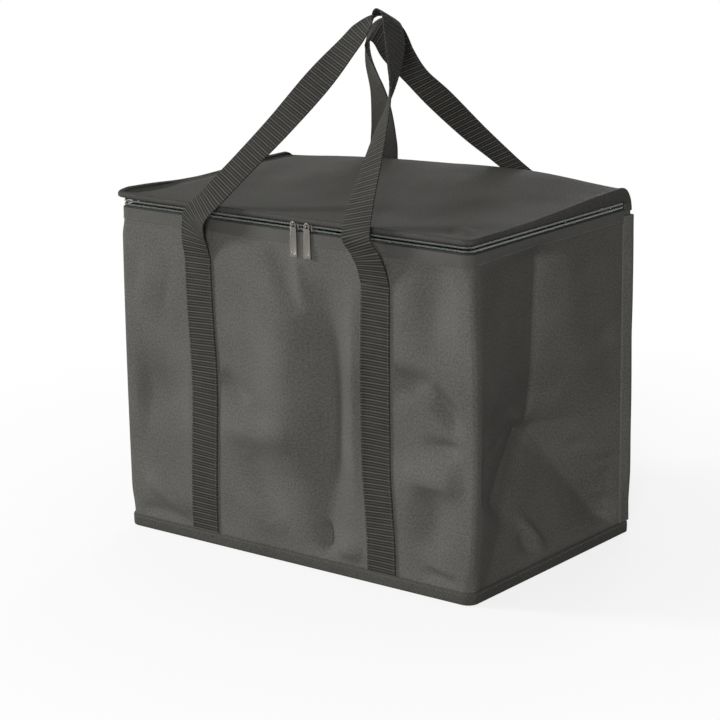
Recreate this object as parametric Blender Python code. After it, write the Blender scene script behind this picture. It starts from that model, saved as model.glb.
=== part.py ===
"""Insulated cooler bag with a zipped lid, two webbing handles and gusseted sides.

Metres, +Z up. The origin is the middle of the base on the floor, the front panel
faces -Y and +X runs to the right along the front.
"""
import math

import bmesh
import bpy
from mathutils import Matrix, Vector

# Overall sizes
BAG_WIDTH = 0.440
BAG_DEPTH = 0.280
WALL_HEIGHT = 0.342
GAP = 0.0003
CUT_OVERRUN = 0.002

# Outer fabric, padding and liner
SKIN = 0.0008
PAD = 0.0030
LINER = 0.0005
LAYER_GAP = 0.0004
FRONT_RADIUS = 0.010
CORNER_STEPS = 4
LINER_CLEARANCE = 0.002
BOARD = 0.0025
BOARD_MARGIN = 0.0025

# Folds of the two side gussets
FOLD_RISE = 0.140
FOLD_DEPTH = 0.026
FOLD_MOUTH = 0.007
FOLD_EASE = 4
FOLD_CLOSE = 6
FOLD_STEPS = 4
WALL_ROW_SHARES = (0.12, 0.25, 0.42, 0.62, 0.80, 0.92, 1.0)

# Taped seams: round the base and up the two back corners
BINDING = 0.0014
BASE_BINDING_HEIGHT = 0.013
SEAM_FLANGE = 0.0135
BACK_BINDING_RETURN = 0.010
BACK_BINDING_CLEARANCE = 0.001

# Lid
LID_RISE = 0.015
LID_BACK_RADIUS = 0.015
LID_PEAK_POWER = 2.2
LID_SIDE_POWER = 3
LID_COLUMNS = 10
LID_ROWS = 10
LID_BACK_STEPS = 4
LID_PAD_CLEARANCE = 0.0023
LID_LINER_GAP = 0.0006
RIM_HEIGHT = 0.0045
RIM_PROUD = 0.0005
HINGE_DROP = 0.002
HINGE_BEHIND = 0.0006

# Zip
ZIP_SLOT = 0.0014
COIL_HEIGHT = 0.0024
COIL_THICKNESS = 0.0018
COIL_INSET = 0.0006
TAPE = 0.0006
TAPE_INSET = 0.0012
TAPE_HIDDEN = 0.010

# Sliders and their pulls
SLIDER_LENGTH = 0.011
SLIDER_HEIGHT = 0.0086
SLIDER_PLATE = 0.001
SLIDER_WEB = 0.0008
SLIDER_CLEARANCE = 0.001
SLIDER_XS = (0.0115, 0.0285)
BAIL_BAR = 0.001
BAIL_WIDTH = 0.0014
BAIL_OPENING = 0.0028
BAIL_REACH = 0.0026
PULL_AXIS_UP = 0.0019
PULL_THICKNESS = 0.0012
PULL_BAND = 0.0016
PULL_HOLE_RADIUS = 0.0026
PULL_TIP_WIDTH = 0.010
PULL_WAIST_WIDTH = 0.0078
PULL_LENGTH = 0.0318
PULL_RECESS = 0.0003
PULL_RECESS_EDGE = 0.0014
PULL_FOOT = 0.002
EYE_STEPS = 20

# Webbing
STRAP_WIDTH = 0.035
STRAP = 0.0016
STRAP_X = 0.114
STRAP_DROP = 0.040
HANDLE_RISE = 0.1863
HANDLE_STEPS = 3

# Free part of each handle, one row a station from the left leg's foot to the right
# leg's: shares of STRAP_X and of half BAG_DEPTH, then the height, which above the
# lid's edge is a share of HANDLE_RISE and below it, less than 0, a share of the way
# down to the foot; last the way that the webbing's width points, as a direction
FRONT_HANDLE_SHARES = (
    ((-1.00, 1.008, -1.000), (1.00, 0.00, 0.00)),
    ((-1.00, 1.036, -0.740), (1.00, -0.05, 0.00)),
    ((-0.98, 1.070, -0.420), (0.98, -0.20, -0.05)),
    ((-0.88, 1.108, -0.090), (0.95, -0.28, -0.10)),
    ((-0.74, 1.035, 0.083), (0.98, -0.16, -0.12)),
    ((-0.55, 0.850, 0.259), (0.98, -0.15, -0.15)),
    ((-0.37, 0.665, 0.433), (0.94, -0.18, -0.30)),
    ((-0.17, 0.450, 0.646), (0.92, -0.12, -0.36)),
    ((0.00, 0.270, 0.830), (0.95, -0.24, -0.20)),
    ((0.09, 0.195, 0.920), (0.82, -0.52, 0.02)),
    ((0.17, 0.142, 0.978), (0.52, -0.80, 0.22)),
    ((0.26, 0.118, 1.000), (0.22, -0.90, 0.36)),
    ((0.35, 0.130, 0.975), (0.05, -0.93, 0.36)),
    ((0.42, 0.178, 0.914), (0.02, -0.95, 0.30)),
    ((0.48, 0.240, 0.852), (0.10, -0.96, 0.24)),
    ((0.57, 0.360, 0.729), (0.33, -0.92, 0.20)),
    ((0.64, 0.480, 0.601), (0.60, -0.78, 0.20)),
    ((0.70, 0.640, 0.459), (0.78, -0.62, 0.05)),
    ((0.76, 0.820, 0.285), (0.90, -0.42, 0.05)),
    ((0.82, 1.000, 0.111), (0.97, -0.22, 0.04)),
    ((0.88, 1.121, -0.088), (1.00, -0.05, 0.00)),
    ((0.94, 1.090, -0.423), (1.00, 0.00, 0.00)),
    ((0.98, 1.040, -0.739), (1.00, 0.00, 0.00)),
    ((1.00, 1.008, -1.000), (1.00, 0.00, 0.00)),
)
BACK_HANDLE_SHARES = (
    ((-1.00, 1.008, -1.000), (1.00, 0.00, 0.00)),
    ((-0.99, 1.040, -0.739), (1.00, 0.00, 0.00)),
    ((-0.96, 1.090, -0.423), (1.00, 0.00, 0.00)),
    ((-0.91, 1.121, -0.088), (1.00, -0.04, 0.00)),
    ((-0.80, 1.000, 0.085), (0.98, -0.15, 0.05)),
    ((-0.64, 0.830, 0.223), (0.94, -0.30, 0.10)),
    ((-0.44, 0.580, 0.446), (0.85, -0.50, 0.15)),
    ((-0.34, 0.380, 0.639), (0.76, -0.62, 0.10)),
    ((-0.25, 0.245, 0.775), (0.62, -0.74, -0.10)),
    ((-0.16, 0.170, 0.855), (0.36, -0.80, -0.38)),
    ((-0.05, 0.140, 0.888), (0.00, -0.80, -0.58)),
    ((0.03, 0.185, 0.845), (-0.50, -0.66, -0.50)),
    ((0.06, 0.265, 0.745), (-0.84, -0.20, -0.44)),
    ((0.13, 0.385, 0.625), (-0.92, 0.10, -0.38)),
    ((0.26, 0.540, 0.485), (-0.82, 0.12, -0.56)),
    ((0.44, 0.760, 0.291), (-0.85, 0.20, -0.48)),
    ((0.62, 0.950, 0.130), (-0.97, 0.14, -0.18)),
    ((0.80, 1.118, -0.088), (-1.00, 0.02, 0.00)),
    ((0.92, 1.080, -0.423), (-1.00, 0.00, 0.00)),
    ((0.98, 1.034, -0.740), (-1.00, 0.00, 0.00)),
    ((1.00, 1.008, -1.000), (-1.00, 0.00, 0.00)),
)

# Levels and insets that follow from the sizes above
HALF_WIDTH = BAG_WIDTH / 2
HALF_DEPTH = BAG_DEPTH / 2
FOLD_HALF = HALF_DEPTH - SEAM_FLANGE
PAD_INSET = SKIN + LAYER_GAP
LINER_INSET = PAD_INSET + PAD + LAYER_GAP
FOLD_LEAN = FOLD_DEPTH / FOLD_RISE
BACK_PANEL_FACE = HALF_DEPTH - SKIN
BASE_PAD_LOW = SKIN + LAYER_GAP
BASE_PAD_HIGH = BASE_PAD_LOW + PAD
LINER_FLOOR = BASE_PAD_HIGH + LAYER_GAP
BOARD_LOW = LINER_FLOOR + LINER + GAP
ZIP_CENTRE = WALL_HEIGHT + SLIDER_CLEARANCE + SLIDER_HEIGHT / 2
BODY_COIL_LOW = ZIP_CENTRE - ZIP_SLOT / 2 - COIL_HEIGHT
LID_COIL_LOW = ZIP_CENTRE + ZIP_SLOT / 2
BODY_TAPE_TOP = BODY_COIL_LOW - GAP
BODY_TAPE_LOW = BODY_TAPE_TOP - TAPE_HIDDEN
LID_TAPE_LOW = LID_COIL_LOW + COIL_HEIGHT + GAP
PAD_TOP = BODY_TAPE_LOW - LAYER_GAP
LINER_TOP = ZIP_CENTRE - SLIDER_HEIGHT / 2 - LINER_CLEARANCE
LID_EDGE = ZIP_CENTRE + SLIDER_HEIGHT / 2 + LAYER_GAP + RIM_HEIGHT - RIM_PROUD
LID_PAD_DROP = SKIN + LAYER_GAP
LID_LINER_DROP = LID_PAD_DROP + PAD + LID_LINER_GAP
LID_PAD_INSET = COIL_INSET + COIL_THICKNESS + GAP + SLIDER_PLATE + LID_PAD_CLEARANCE
HINGE_HEIGHT = WALL_HEIGHT - HINGE_DROP
BACK_BINDING_TOP = HINGE_HEIGHT - BACK_BINDING_CLEARANCE
ZIP_END = FOLD_HALF - GAP
HINGE_Y = HALF_DEPTH + HINGE_BEHIND
STRAP_TOP = WALL_HEIGHT - STRAP_DROP
STRAP_MIDDLE = HALF_DEPTH + GAP + STRAP / 2
HANDLE_PIVOT_Y = HALF_DEPTH + GAP + STRAP + GAP
HANDLE_PIVOT_Z = STRAP_TOP + GAP / 2


def material(name, colour, roughness, metallic=0.0):
    made = bpy.data.materials.new(name)
    made.use_nodes = True
    shader = made.node_tree.nodes["Principled BSDF"]
    shader.inputs["Base Color"].default_value = (*colour, 1.0)
    shader.inputs["Roughness"].default_value = roughness
    shader.inputs["Metallic"].default_value = metallic
    return made


def outer_fabric(name):
    return material(name, (0.085, 0.083, 0.076), 0.86)


def webbing(name):
    return material(name, (0.040, 0.039, 0.034), 0.80)


def foam(name):
    return material(name, (0.72, 0.72, 0.70), 0.95)


def stiff_board(name):
    return material(name, (0.55, 0.55, 0.53), 0.70)


def foil(name):
    return material(name, (0.62, 0.63, 0.64), 0.28, 0.9)


def zip_tape(name):
    return material(name, (0.035, 0.038, 0.034), 0.85)


def nickel(name):
    return material(name, (0.42, 0.41, 0.38), 0.30, 1.0)


def add_object(name, mesh_source, make_material, parent=None, origin=(0.0, 0.0, 0.0)):
    """Turns a bmesh in world places into an object whose origin is at origin."""
    bmesh.ops.translate(mesh_source, vec=-Vector(origin), verts=mesh_source.verts)
    mesh = bpy.data.meshes.new(name)
    mesh_source.to_mesh(mesh)
    mesh_source.free()
    made = bpy.data.objects.new(name, mesh)
    bpy.context.scene.collection.objects.link(made)
    mesh.materials.append(make_material(name + "_material"))
    if parent is None:
        made.location = origin
    else:
        made.parent = parent
        made.location = Vector(origin) - parent.location
    return made


def add_pivot(name, location):
    pivot = bpy.data.objects.new(name, None)
    bpy.context.scene.collection.objects.link(pivot)
    pivot.location = location
    return pivot


def add_solidify(made, thickness):
    """Gives a sheet its thickness on the side away from its normals."""
    solidify = made.modifiers.new("thickness", "SOLIDIFY")
    solidify.thickness = thickness
    solidify.offset = -1.0
    solidify.use_even_offset = True


def add_boolean(made, cutter, operation):
    cutter.hide_render = True
    cutter.display_type = "WIRE"
    boolean = made.modifiers.new(cutter.name, "BOOLEAN")
    boolean.operation = operation
    boolean.solver = "EXACT"
    boolean.object = cutter


def box(low, high):
    """A box between two corners, as a bmesh."""
    shape = bmesh.new()
    bmesh.ops.create_cube(shape, size=1.0)
    size = Vector(high) - Vector(low)
    bmesh.ops.scale(shape, vec=size, verts=shape.verts)
    bmesh.ops.translate(shape, vec=(Vector(low) + Vector(high)) / 2, verts=shape.verts)
    return shape


def sweep(sections, closed=False):
    """Joins equal rings of points into one tube, capped at both ends unless closed."""
    shape = bmesh.new()
    rings = [[shape.verts.new(point) for point in section] for section in sections]
    pairs = list(zip(rings, rings[1:]))
    if closed:
        pairs.append((rings[-1], rings[0]))
    for near, far in pairs:
        for here in range(len(near)):
            there = (here + 1) % len(near)
            shape.faces.new((near[here], near[there], far[there], far[here]))
    if not closed:
        shape.faces.new(rings[0])
        shape.faces.new(rings[-1])
    bmesh.ops.recalc_face_normals(shape, faces=shape.faces)
    return shape


def trim(shape, place, outward):
    """Cuts a sheet at a plane and drops what lies on the outward side."""
    parts = list(shape.verts) + list(shape.edges) + list(shape.faces)
    bmesh.ops.bisect_plane(
        shape, geom=parts, plane_co=place, plane_no=outward, clear_outer=True
    )


def fold_depth(y, z):
    """How far the side panel is folded inwards at a place on it."""
    across = max(0.0, 1.0 - abs(y) / FOLD_HALF)
    if z >= WALL_HEIGHT:
        return 0.0
    if z <= FOLD_RISE:
        return FOLD_DEPTH * min(z / FOLD_RISE, across)
    up = (z - FOLD_RISE) / (WALL_HEIGHT - FOLD_RISE)
    depth = (FOLD_DEPTH - FOLD_MOUTH) * (1 - up) ** FOLD_EASE
    depth += FOLD_MOUTH * (1 - up ** FOLD_CLOSE)
    return depth * across


def wall_rows(top):
    """Heights of the wall's rows, the same ones in every layer of the wall."""
    rows = [FOLD_RISE * step / FOLD_STEPS for step in range(FOLD_STEPS + 1)]
    rows += [FOLD_RISE + (WALL_HEIGHT - FOLD_RISE) * share for share in WALL_ROW_SHARES]
    if top > WALL_HEIGHT:
        rows.append(top)
    return rows


def side_column(side, y, inset):
    """A column of the side wall, which leans in with the fold."""
    return {"y": y, "at": lambda z: (side * (HALF_WIDTH - inset - fold_depth(y, z)), y)}


def fixed_column(x, y):
    return {"y": None, "at": lambda z: (x, y)}


def side_columns(side, y_from, y_to, inset):
    """Columns from one end of a side to the other, with the fold's own between."""
    folds = [FOLD_HALF * step / FOLD_STEPS for step in range(-FOLD_STEPS, FOLD_STEPS + 1)]
    inside = [y for y in folds if min(y_from, y_to) < y < max(y_from, y_to)]
    places = sorted([y_from, y_to] + inside, reverse=y_from > y_to)
    return [side_column(side, y, inset) for y in places]


def corner_columns(side, inset):
    """Columns round a front corner, from the left-hand end to the right-hand end."""
    centre_x = side * (HALF_WIDTH - FRONT_RADIUS)
    centre_y = FRONT_RADIUS - HALF_DEPTH
    columns = []
    for step in range(1, CORNER_STEPS):
        turn = math.radians(90) * step / CORNER_STEPS
        if side > 0:
            turn = math.radians(90) - turn
        reach = FRONT_RADIUS - inset
        x = centre_x + side * reach * math.cos(turn)
        columns.append(fixed_column(x, centre_y - reach * math.sin(turn)))
    return columns


def u_columns(inset, back_y):
    """Columns of a layer that runs along the left side, the front and the right side."""
    corner_y = FRONT_RADIUS - HALF_DEPTH
    corner_x = HALF_WIDTH - FRONT_RADIUS
    front_y = inset - HALF_DEPTH
    columns = side_columns(-1, back_y, corner_y, inset)
    columns += corner_columns(-1, inset)
    columns += [fixed_column(-corner_x, front_y), fixed_column(corner_x, front_y)]
    columns += corner_columns(1, inset)
    columns += side_columns(1, corner_y, back_y, inset)
    return columns


def wall_sheet(columns, low, high, closed=False):
    """The sheet through some columns of the wall, between two heights."""
    shape = bmesh.new()
    rows = wall_rows(high)
    grid = []
    for column in columns:
        grid.append([shape.verts.new((*column["at"](z), z)) for z in rows])
    pairs = list(zip(range(len(columns)), range(1, len(columns))))
    if closed:
        pairs.append((len(columns) - 1, 0))
    for left, right in pairs:
        y_left, y_right = columns[left]["y"], columns[right]["y"]
        folded = y_left is not None and y_right is not None
        for row in range(len(rows) - 1):
            a, b = grid[left][row], grid[right][row]
            c, d = grid[right][row + 1], grid[left][row + 1]
            if not folded:
                shape.faces.new((a, b, c, d))
            elif abs(y_left) > abs(y_right):
                shape.faces.new((a, b, c))
                shape.faces.new((a, c, d))
            else:
                shape.faces.new((a, b, d))
                shape.faces.new((b, c, d))
    if low > 0:
        trim(shape, (0, 0, low), (0, 0, -1))
    trim(shape, (0, 0, high), (0, 0, 1))
    return shape


def plan_loop(inset, back_y):
    """Outline of the bag seen from above: round front corners, square back ones."""
    reach = FRONT_RADIUS - inset
    centre_y = FRONT_RADIUS - HALF_DEPTH
    points = [(inset - HALF_WIDTH, back_y)]
    for side in (-1, 1):
        for step in range(CORNER_STEPS + 1):
            turn = math.radians(90) * step / CORNER_STEPS
            if side > 0:
                turn = math.radians(90) - turn
            x = side * (HALF_WIDTH - FRONT_RADIUS + reach * math.cos(turn))
            points.append((x, centre_y - reach * math.sin(turn)))
    points.append((HALF_WIDTH - inset, back_y))
    return points


def slab(outline, low, high):
    """A flat outline raised between two heights."""
    shape = bmesh.new()
    face = shape.faces.new([shape.verts.new((x, y, low)) for x, y in outline])
    lifted = bmesh.ops.extrude_face_region(shape, geom=[face])
    moved = [item for item in lifted["geom"] if isinstance(item, bmesh.types.BMVert)]
    bmesh.ops.translate(shape, vec=(0, 0, high - low), verts=moved)
    bmesh.ops.recalc_face_normals(shape, faces=shape.faces)
    return shape


def band(outer, inner, low, high, closed=False):
    """A standing band between two outlines with as many points each."""
    sections = []
    for (ox, oy), (ix, iy) in zip(outer, inner):
        sections.append([(ox, oy, low), (ox, oy, high), (ix, iy, high), (ix, iy, low)])
    return sweep(sections, closed)


def make_outer_fabric():
    back_edge = BACK_PANEL_FACE - GAP
    sheet = wall_sheet(u_columns(0.0, back_edge), SKIN * FOLD_LEAN, WALL_HEIGHT)
    add_solidify(add_object("wrap_panel", sheet, outer_fabric), SKIN)
    back_low = (-HALF_WIDTH, BACK_PANEL_FACE, 0.0)
    back_high = (HALF_WIDTH, HALF_DEPTH, HINGE_HEIGHT - GAP)
    add_object("back_panel", box(back_low, back_high), outer_fabric)
    outline = plan_loop(SKIN + GAP, back_edge)
    add_object("base_panel", slab(outline, 0.0, SKIN), outer_fabric)


def make_padding():
    back_face = HALF_DEPTH - PAD_INSET
    side_back = back_face - PAD - GAP
    side_front = FRONT_RADIUS - HALF_DEPTH
    side_low = BASE_PAD_LOW + PAD * FOLD_LEAN
    for side, name in ((-1, "left_pad"), (1, "right_pad")):
        ends = (side_back, side_front) if side < 0 else (side_front, side_back)
        sheet = wall_sheet(side_columns(side, *ends, PAD_INSET), side_low, PAD_TOP)
        add_solidify(add_object(name, sheet, foam), PAD)
    front_reach = HALF_WIDTH - FRONT_RADIUS
    front_low = (-front_reach, PAD_INSET - HALF_DEPTH, BASE_PAD_LOW)
    front_high = (front_reach, PAD_INSET + PAD - HALF_DEPTH, PAD_TOP)
    add_object("front_pad", box(front_low, front_high), foam)
    back_reach = HALF_WIDTH - PAD_INSET
    back_low = (-back_reach, back_face - PAD, BASE_PAD_LOW)
    add_object("back_pad", box(back_low, (back_reach, back_face, PAD_TOP)), foam)
    lean = FOLD_LEAN * BASE_PAD_HIGH
    inset_x = HALF_WIDTH - LINER_INSET - lean
    inset_y = HALF_DEPTH - LINER_INSET
    base_low = (-inset_x, -inset_y, BASE_PAD_LOW)
    add_object("base_pad", box(base_low, (inset_x, inset_y, BASE_PAD_HIGH)), foam)


def make_liner():
    side_y = HALF_DEPTH - LINER_INSET
    columns = side_columns(-1, side_y, -side_y, LINER_INSET)
    columns += side_columns(1, -side_y, side_y, LINER_INSET)
    shape = wall_sheet(columns, LINER_FLOOR, LINER_TOP, closed=True)
    rim = [edge for edge in shape.edges if edge.is_boundary]
    floor = [e for e in rim if max(v.co.z for v in e.verts) < LINER_FLOOR + GAP]
    bmesh.ops.contextual_create(shape, geom=floor)
    bmesh.ops.recalc_face_normals(shape, faces=shape.faces)
    add_solidify(add_object("liner", shape, foil), LINER)
    board_high = BOARD_LOW + BOARD
    lean = FOLD_LEAN * board_high
    reach_x = HALF_WIDTH - LINER_INSET - LINER - lean - BOARD_MARGIN
    reach_y = side_y - LINER - BOARD_MARGIN
    board_low = (-reach_x, -reach_y, BOARD_LOW)
    add_object("base_board", box(board_low, (reach_x, reach_y, board_high)), stiff_board)


def make_bindings():
    outer = plan_loop(-GAP - BINDING, HALF_DEPTH + GAP + BINDING)
    inner = plan_loop(-GAP, HALF_DEPTH + GAP)
    ring = band(outer, inner, 0.0, BASE_BINDING_HEIGHT, closed=True)
    add_object("base_binding", ring, outer_fabric)
    for side, name in ((-1, "back_left_binding"), (1, "back_right_binding")):
        near_x, far_x = HALF_WIDTH + GAP, HALF_WIDTH + GAP + BINDING
        near_y, far_y = HALF_DEPTH + GAP, HALF_DEPTH + GAP + BINDING
        turned_x = HALF_WIDTH - BACK_BINDING_RETURN
        outer = [(side * far_x, FOLD_HALF), (side * far_x, far_y), (side * turned_x, far_y)]
        inner = [(side * near_x, FOLD_HALF), (side * near_x, near_y)]
        inner.append((side * turned_x, near_y))
        strip = band(outer, inner, BASE_BINDING_HEIGHT + GAP, BACK_BINDING_TOP)
        add_object(name, strip, outer_fabric)


def zip_band(inset, thickness, low, high):
    """A band of the zip, along the left side, the front and the right side."""
    outer = plan_loop(inset, ZIP_END)
    inner = plan_loop(inset + thickness, ZIP_END)
    return band(outer, inner, low, high)


def make_zip(lid):
    tape = wall_sheet(u_columns(TAPE_INSET, ZIP_END), BODY_TAPE_LOW, BODY_TAPE_TOP)
    add_solidify(add_object("body_zip_tape", tape, zip_tape), TAPE)
    coil = zip_band(COIL_INSET, COIL_THICKNESS, BODY_COIL_LOW, BODY_COIL_LOW + COIL_HEIGHT)
    add_object("body_zip_coil", coil, zip_tape)
    coil = zip_band(COIL_INSET, COIL_THICKNESS, LID_COIL_LOW, LID_COIL_LOW + COIL_HEIGHT)
    add_object("lid_zip_coil", coil, zip_tape, lid)
    tape = zip_band(TAPE_INSET, TAPE, LID_TAPE_LOW, LID_EDGE - SKIN - GAP)
    add_object("lid_zip_tape", tape, zip_tape, lid)


def lid_height(x, y):
    """Height of the lid's outer face: a low crown that peaks towards the back."""
    along = (y + HALF_DEPTH) / (BAG_DEPTH - LID_BACK_RADIUS)
    along = min(max(along, 0.0), 1.0)
    across = 1 - abs(x / HALF_WIDTH) ** LID_SIDE_POWER
    return LID_EDGE + LID_RISE * across * math.sin(math.pi * along ** LID_PEAK_POWER)


def lid_sheet(drop, over_the_back=False):
    """The lid's outer face lowered by drop, with its rounded back edge if wanted."""
    crown_end = HALF_DEPTH - LID_BACK_RADIUS
    ys = [-HALF_DEPTH + (crown_end + HALF_DEPTH) * row / LID_ROWS for row in range(LID_ROWS + 1)]
    places = [(y, None) for y in ys]
    if over_the_back:
        for step in range(1, LID_BACK_STEPS + 1):
            turn = math.radians(90) * step / LID_BACK_STEPS
            places.append((crown_end + LID_BACK_RADIUS * math.sin(turn), turn))
    shape = bmesh.new()
    rows = []
    fall = LID_EDGE - HINGE_HEIGHT - GAP
    for y, turn in places:
        row = []
        for column in range(LID_COLUMNS + 1):
            x = HALF_WIDTH * (2 * column / LID_COLUMNS - 1)
            z = lid_height(x, y)
            if turn is not None:
                z = LID_EDGE - fall * (1 - math.cos(turn))
            row.append(shape.verts.new((x, y, z - drop)))
        rows.append(row)
    for near, far in zip(rows, rows[1:]):
        for left in range(LID_COLUMNS):
            right = left + 1
            shape.faces.new((near[left], near[right], far[right]))
            shape.faces.new((near[left], far[right], far[left]))
    return shape


def round_front_corners(shape):
    """Trims a sheet's front corners to the outline of the bag."""
    outline = plan_loop(0.0, HALF_DEPTH)
    for (ax, ay), (bx, by) in zip(outline[1:-1], outline[2:-1]):
        outward = Vector((by - ay, ax - bx, 0.0))
        if outward.x and outward.y:
            trim(shape, (ax, ay, 0.0), outward)


def make_lid(lid):
    sheet = lid_sheet(0.0, over_the_back=True)
    round_front_corners(sheet)
    panel = add_object("lid_panel", sheet, outer_fabric, lid)
    add_solidify(panel, SKIN)
    inner_back = HALF_DEPTH - LID_BACK_RADIUS
    layers = (
        ("lid_pad", LID_PAD_DROP, PAD, foam),
        ("lid_liner", LID_LINER_DROP, LINER, foil),
    )
    for name, drop, thickness, finish in layers:
        sheet = lid_sheet(drop)
        reach_x = HALF_WIDTH - LID_PAD_INSET
        trim(sheet, (reach_x, 0, 0), (1, 0, 0))
        trim(sheet, (-reach_x, 0, 0), (-1, 0, 0))
        trim(sheet, (0, LID_PAD_INSET - HALF_DEPTH, 0), (0, -1, 0))
        trim(sheet, (0, inner_back - LID_PAD_INSET, 0), (0, 1, 0))
        add_solidify(add_object(name, sheet, finish, lid), thickness)
    add_object("lid_rim", lid_rim(), outer_fabric, lid)


def lid_rim():
    """The rolled edge round the lid, which turns down over its back corners."""
    crown_end = HALF_DEPTH - LID_BACK_RADIUS
    top = LID_EDGE + RIM_PROUD
    outer = plan_loop(-GAP - BINDING, crown_end)
    inner = plan_loop(-GAP, crown_end)
    flat = []
    for (ox, oy), (ix, iy) in zip(outer, inner):
        low = top - RIM_HEIGHT
        flat.append([(ox, oy, top), (ox, oy, low), (ix, iy, low), (ix, iy, top)])
    far_x, near_x = HALF_WIDTH + GAP + BINDING, HALF_WIDTH + GAP
    drop = top - HINGE_HEIGHT - GAP
    reach = LID_BACK_RADIUS
    turned = []
    for step in range(1, LID_BACK_STEPS + 1):
        turn = math.radians(90) * step / LID_BACK_STEPS
        y_out = crown_end + reach * math.sin(turn)
        z_out = top - drop * (1 - math.cos(turn))
        y_in = crown_end + (reach - RIM_HEIGHT) * math.sin(turn)
        z_in = top - drop + (drop - RIM_HEIGHT) * math.cos(turn)
        turned.append((y_out, z_out, y_in, z_in))
    sections = []
    for side in (-1, 1):
        curve = []
        for y_out, z_out, y_in, z_in in turned:
            curve.append([
                (side * far_x, y_out, z_out), (side * far_x, y_in, z_in),
                (side * near_x, y_in, z_in), (side * near_x, y_out, z_out),
            ])
        sections += curve[::-1] + flat if side < 0 else curve
    return sweep(sections)


def make_sewn_straps():
    low = BASE_BINDING_HEIGHT + GAP
    for facing, place in ((-1, "front"), (1, "back")):
        near_y, far_y = facing * (HALF_DEPTH + GAP), facing * (HALF_DEPTH + GAP + STRAP)
        for side, name in ((-1, "left"), (1, "right")):
            x = side * STRAP_X
            corner = (x - STRAP_WIDTH / 2, min(near_y, far_y), low)
            opposite = (x + STRAP_WIDTH / 2, max(near_y, far_y), STRAP_TOP)
            add_object(f"{place}_{name}_strap", box(corner, opposite), webbing)


def smooth_point(points, at):
    """A point on the Catmull-Rom curve through some points, at a fractional index."""
    last = len(points) - 1
    here = min(int(at), last - 1)
    t = at - here
    a, b = points[max(here - 1, 0)], points[here]
    c, d = points[here + 1], points[min(here + 2, last)]
    bend = 2 * a - 5 * b + 4 * c - d
    twist = 3 * (b - c) + d - a
    return (2 * b + (c - a) * t + bend * t * t + twist * t * t * t) / 2


def handle_height(share):
    """Height of a station of a handle, above or below the lid's edge."""
    if share > 0:
        return LID_EDGE + share * HANDLE_RISE
    return LID_EDGE + share * (LID_EDGE - STRAP_TOP - GAP)


def handle_sections(shares, facing):
    """Cross sections of the free webbing, from the left foot to the right one."""
    places, widths = [], []
    for (x, y, z), width in shares:
        height = handle_height(z)
        places.append(Vector((x * STRAP_X, facing * y * HALF_DEPTH, height)))
        widths.append(Vector(width).normalized())
    places[0].y = places[-1].y = facing * STRAP_MIDDLE
    count = (len(shares) - 1) * HANDLE_STEPS
    centres = [smooth_point(places, step / HANDLE_STEPS) for step in range(count + 1)]
    across = [smooth_point(widths, step / HANDLE_STEPS) for step in range(count + 1)]
    sections = []
    for step, centre in enumerate(centres):
        ahead = centres[min(step + 1, count)] - centres[max(step - 1, 0)]
        if step in (0, count):
            ahead = Vector((0, 0, 1 if step == 0 else -1))
        ahead.normalize()
        wide = across[step] - ahead * across[step].dot(ahead)
        wide = wide.normalized() * STRAP_WIDTH / 2
        thick = ahead.cross(wide).normalized() * STRAP / 2
        corners = (wide + thick, thick - wide, -wide - thick, wide - thick)
        sections.append([centre + corner for corner in corners])
    return sections


def make_handles():
    for name, facing, shares in (
        ("front_handle", -1, FRONT_HANDLE_SHARES), ("back_handle", 1, BACK_HANDLE_SHARES)
    ):
        place = (0.0, facing * HANDLE_PIVOT_Y, HANDLE_PIVOT_Z)
        pivot = add_pivot(name + "_pivot", place)
        strip = sweep(handle_sections(shares, facing))
        add_object(name, strip, webbing, pivot, place)


def slider_front():
    """Y of the outer face of a slider's front plate."""
    return COIL_INSET - HALF_DEPTH - GAP - SLIDER_PLATE


def slider_body(x):
    """Two plates round the coils, with a web between them in the zip's slot."""
    plate_low, plate_high = ZIP_CENTRE - SLIDER_HEIGHT / 2, ZIP_CENTRE + SLIDER_HEIGHT / 2
    web_low, web_high = ZIP_CENTRE - SLIDER_WEB / 2, ZIP_CENTRE + SLIDER_WEB / 2
    front = slider_front()
    front_in = front + SLIDER_PLATE
    back_in = front_in + COIL_THICKNESS + 2 * GAP
    back = back_in + SLIDER_PLATE
    profile = [
        (front, plate_low), (front_in, plate_low), (front_in, web_low), (back_in, web_low),
        (back_in, plate_low), (back, plate_low), (back, plate_high), (back_in, plate_high),
        (back_in, web_high), (front_in, web_high), (front_in, plate_high), (front, plate_high),
    ]
    ends = (x - SLIDER_LENGTH / 2, x + SLIDER_LENGTH / 2)
    return sweep([[(end, y, z) for y, z in profile] for end in ends])


def bail(x):
    """The staple on the slider's front that the pull's eye hangs in."""
    root = slider_front() + SLIDER_PLATE / 2
    face = slider_front()
    inner, outer = face - BAIL_REACH, face - BAIL_REACH - BAIL_BAR
    middle = ZIP_CENTRE + PULL_AXIS_UP
    half, reach = BAIL_OPENING / 2, BAIL_OPENING / 2 + BAIL_BAR
    profile = [
        (root, middle - reach), (outer, middle - reach), (outer, middle + reach),
        (root, middle + reach), (root, middle + half), (inner, middle + half),
        (inner, middle - half), (root, middle - half),
    ]
    ends = (x - BAIL_WIDTH / 2, x + BAIL_WIDTH / 2)
    return sweep([[(end, y, z) for y, z in profile] for end in ends])


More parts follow.
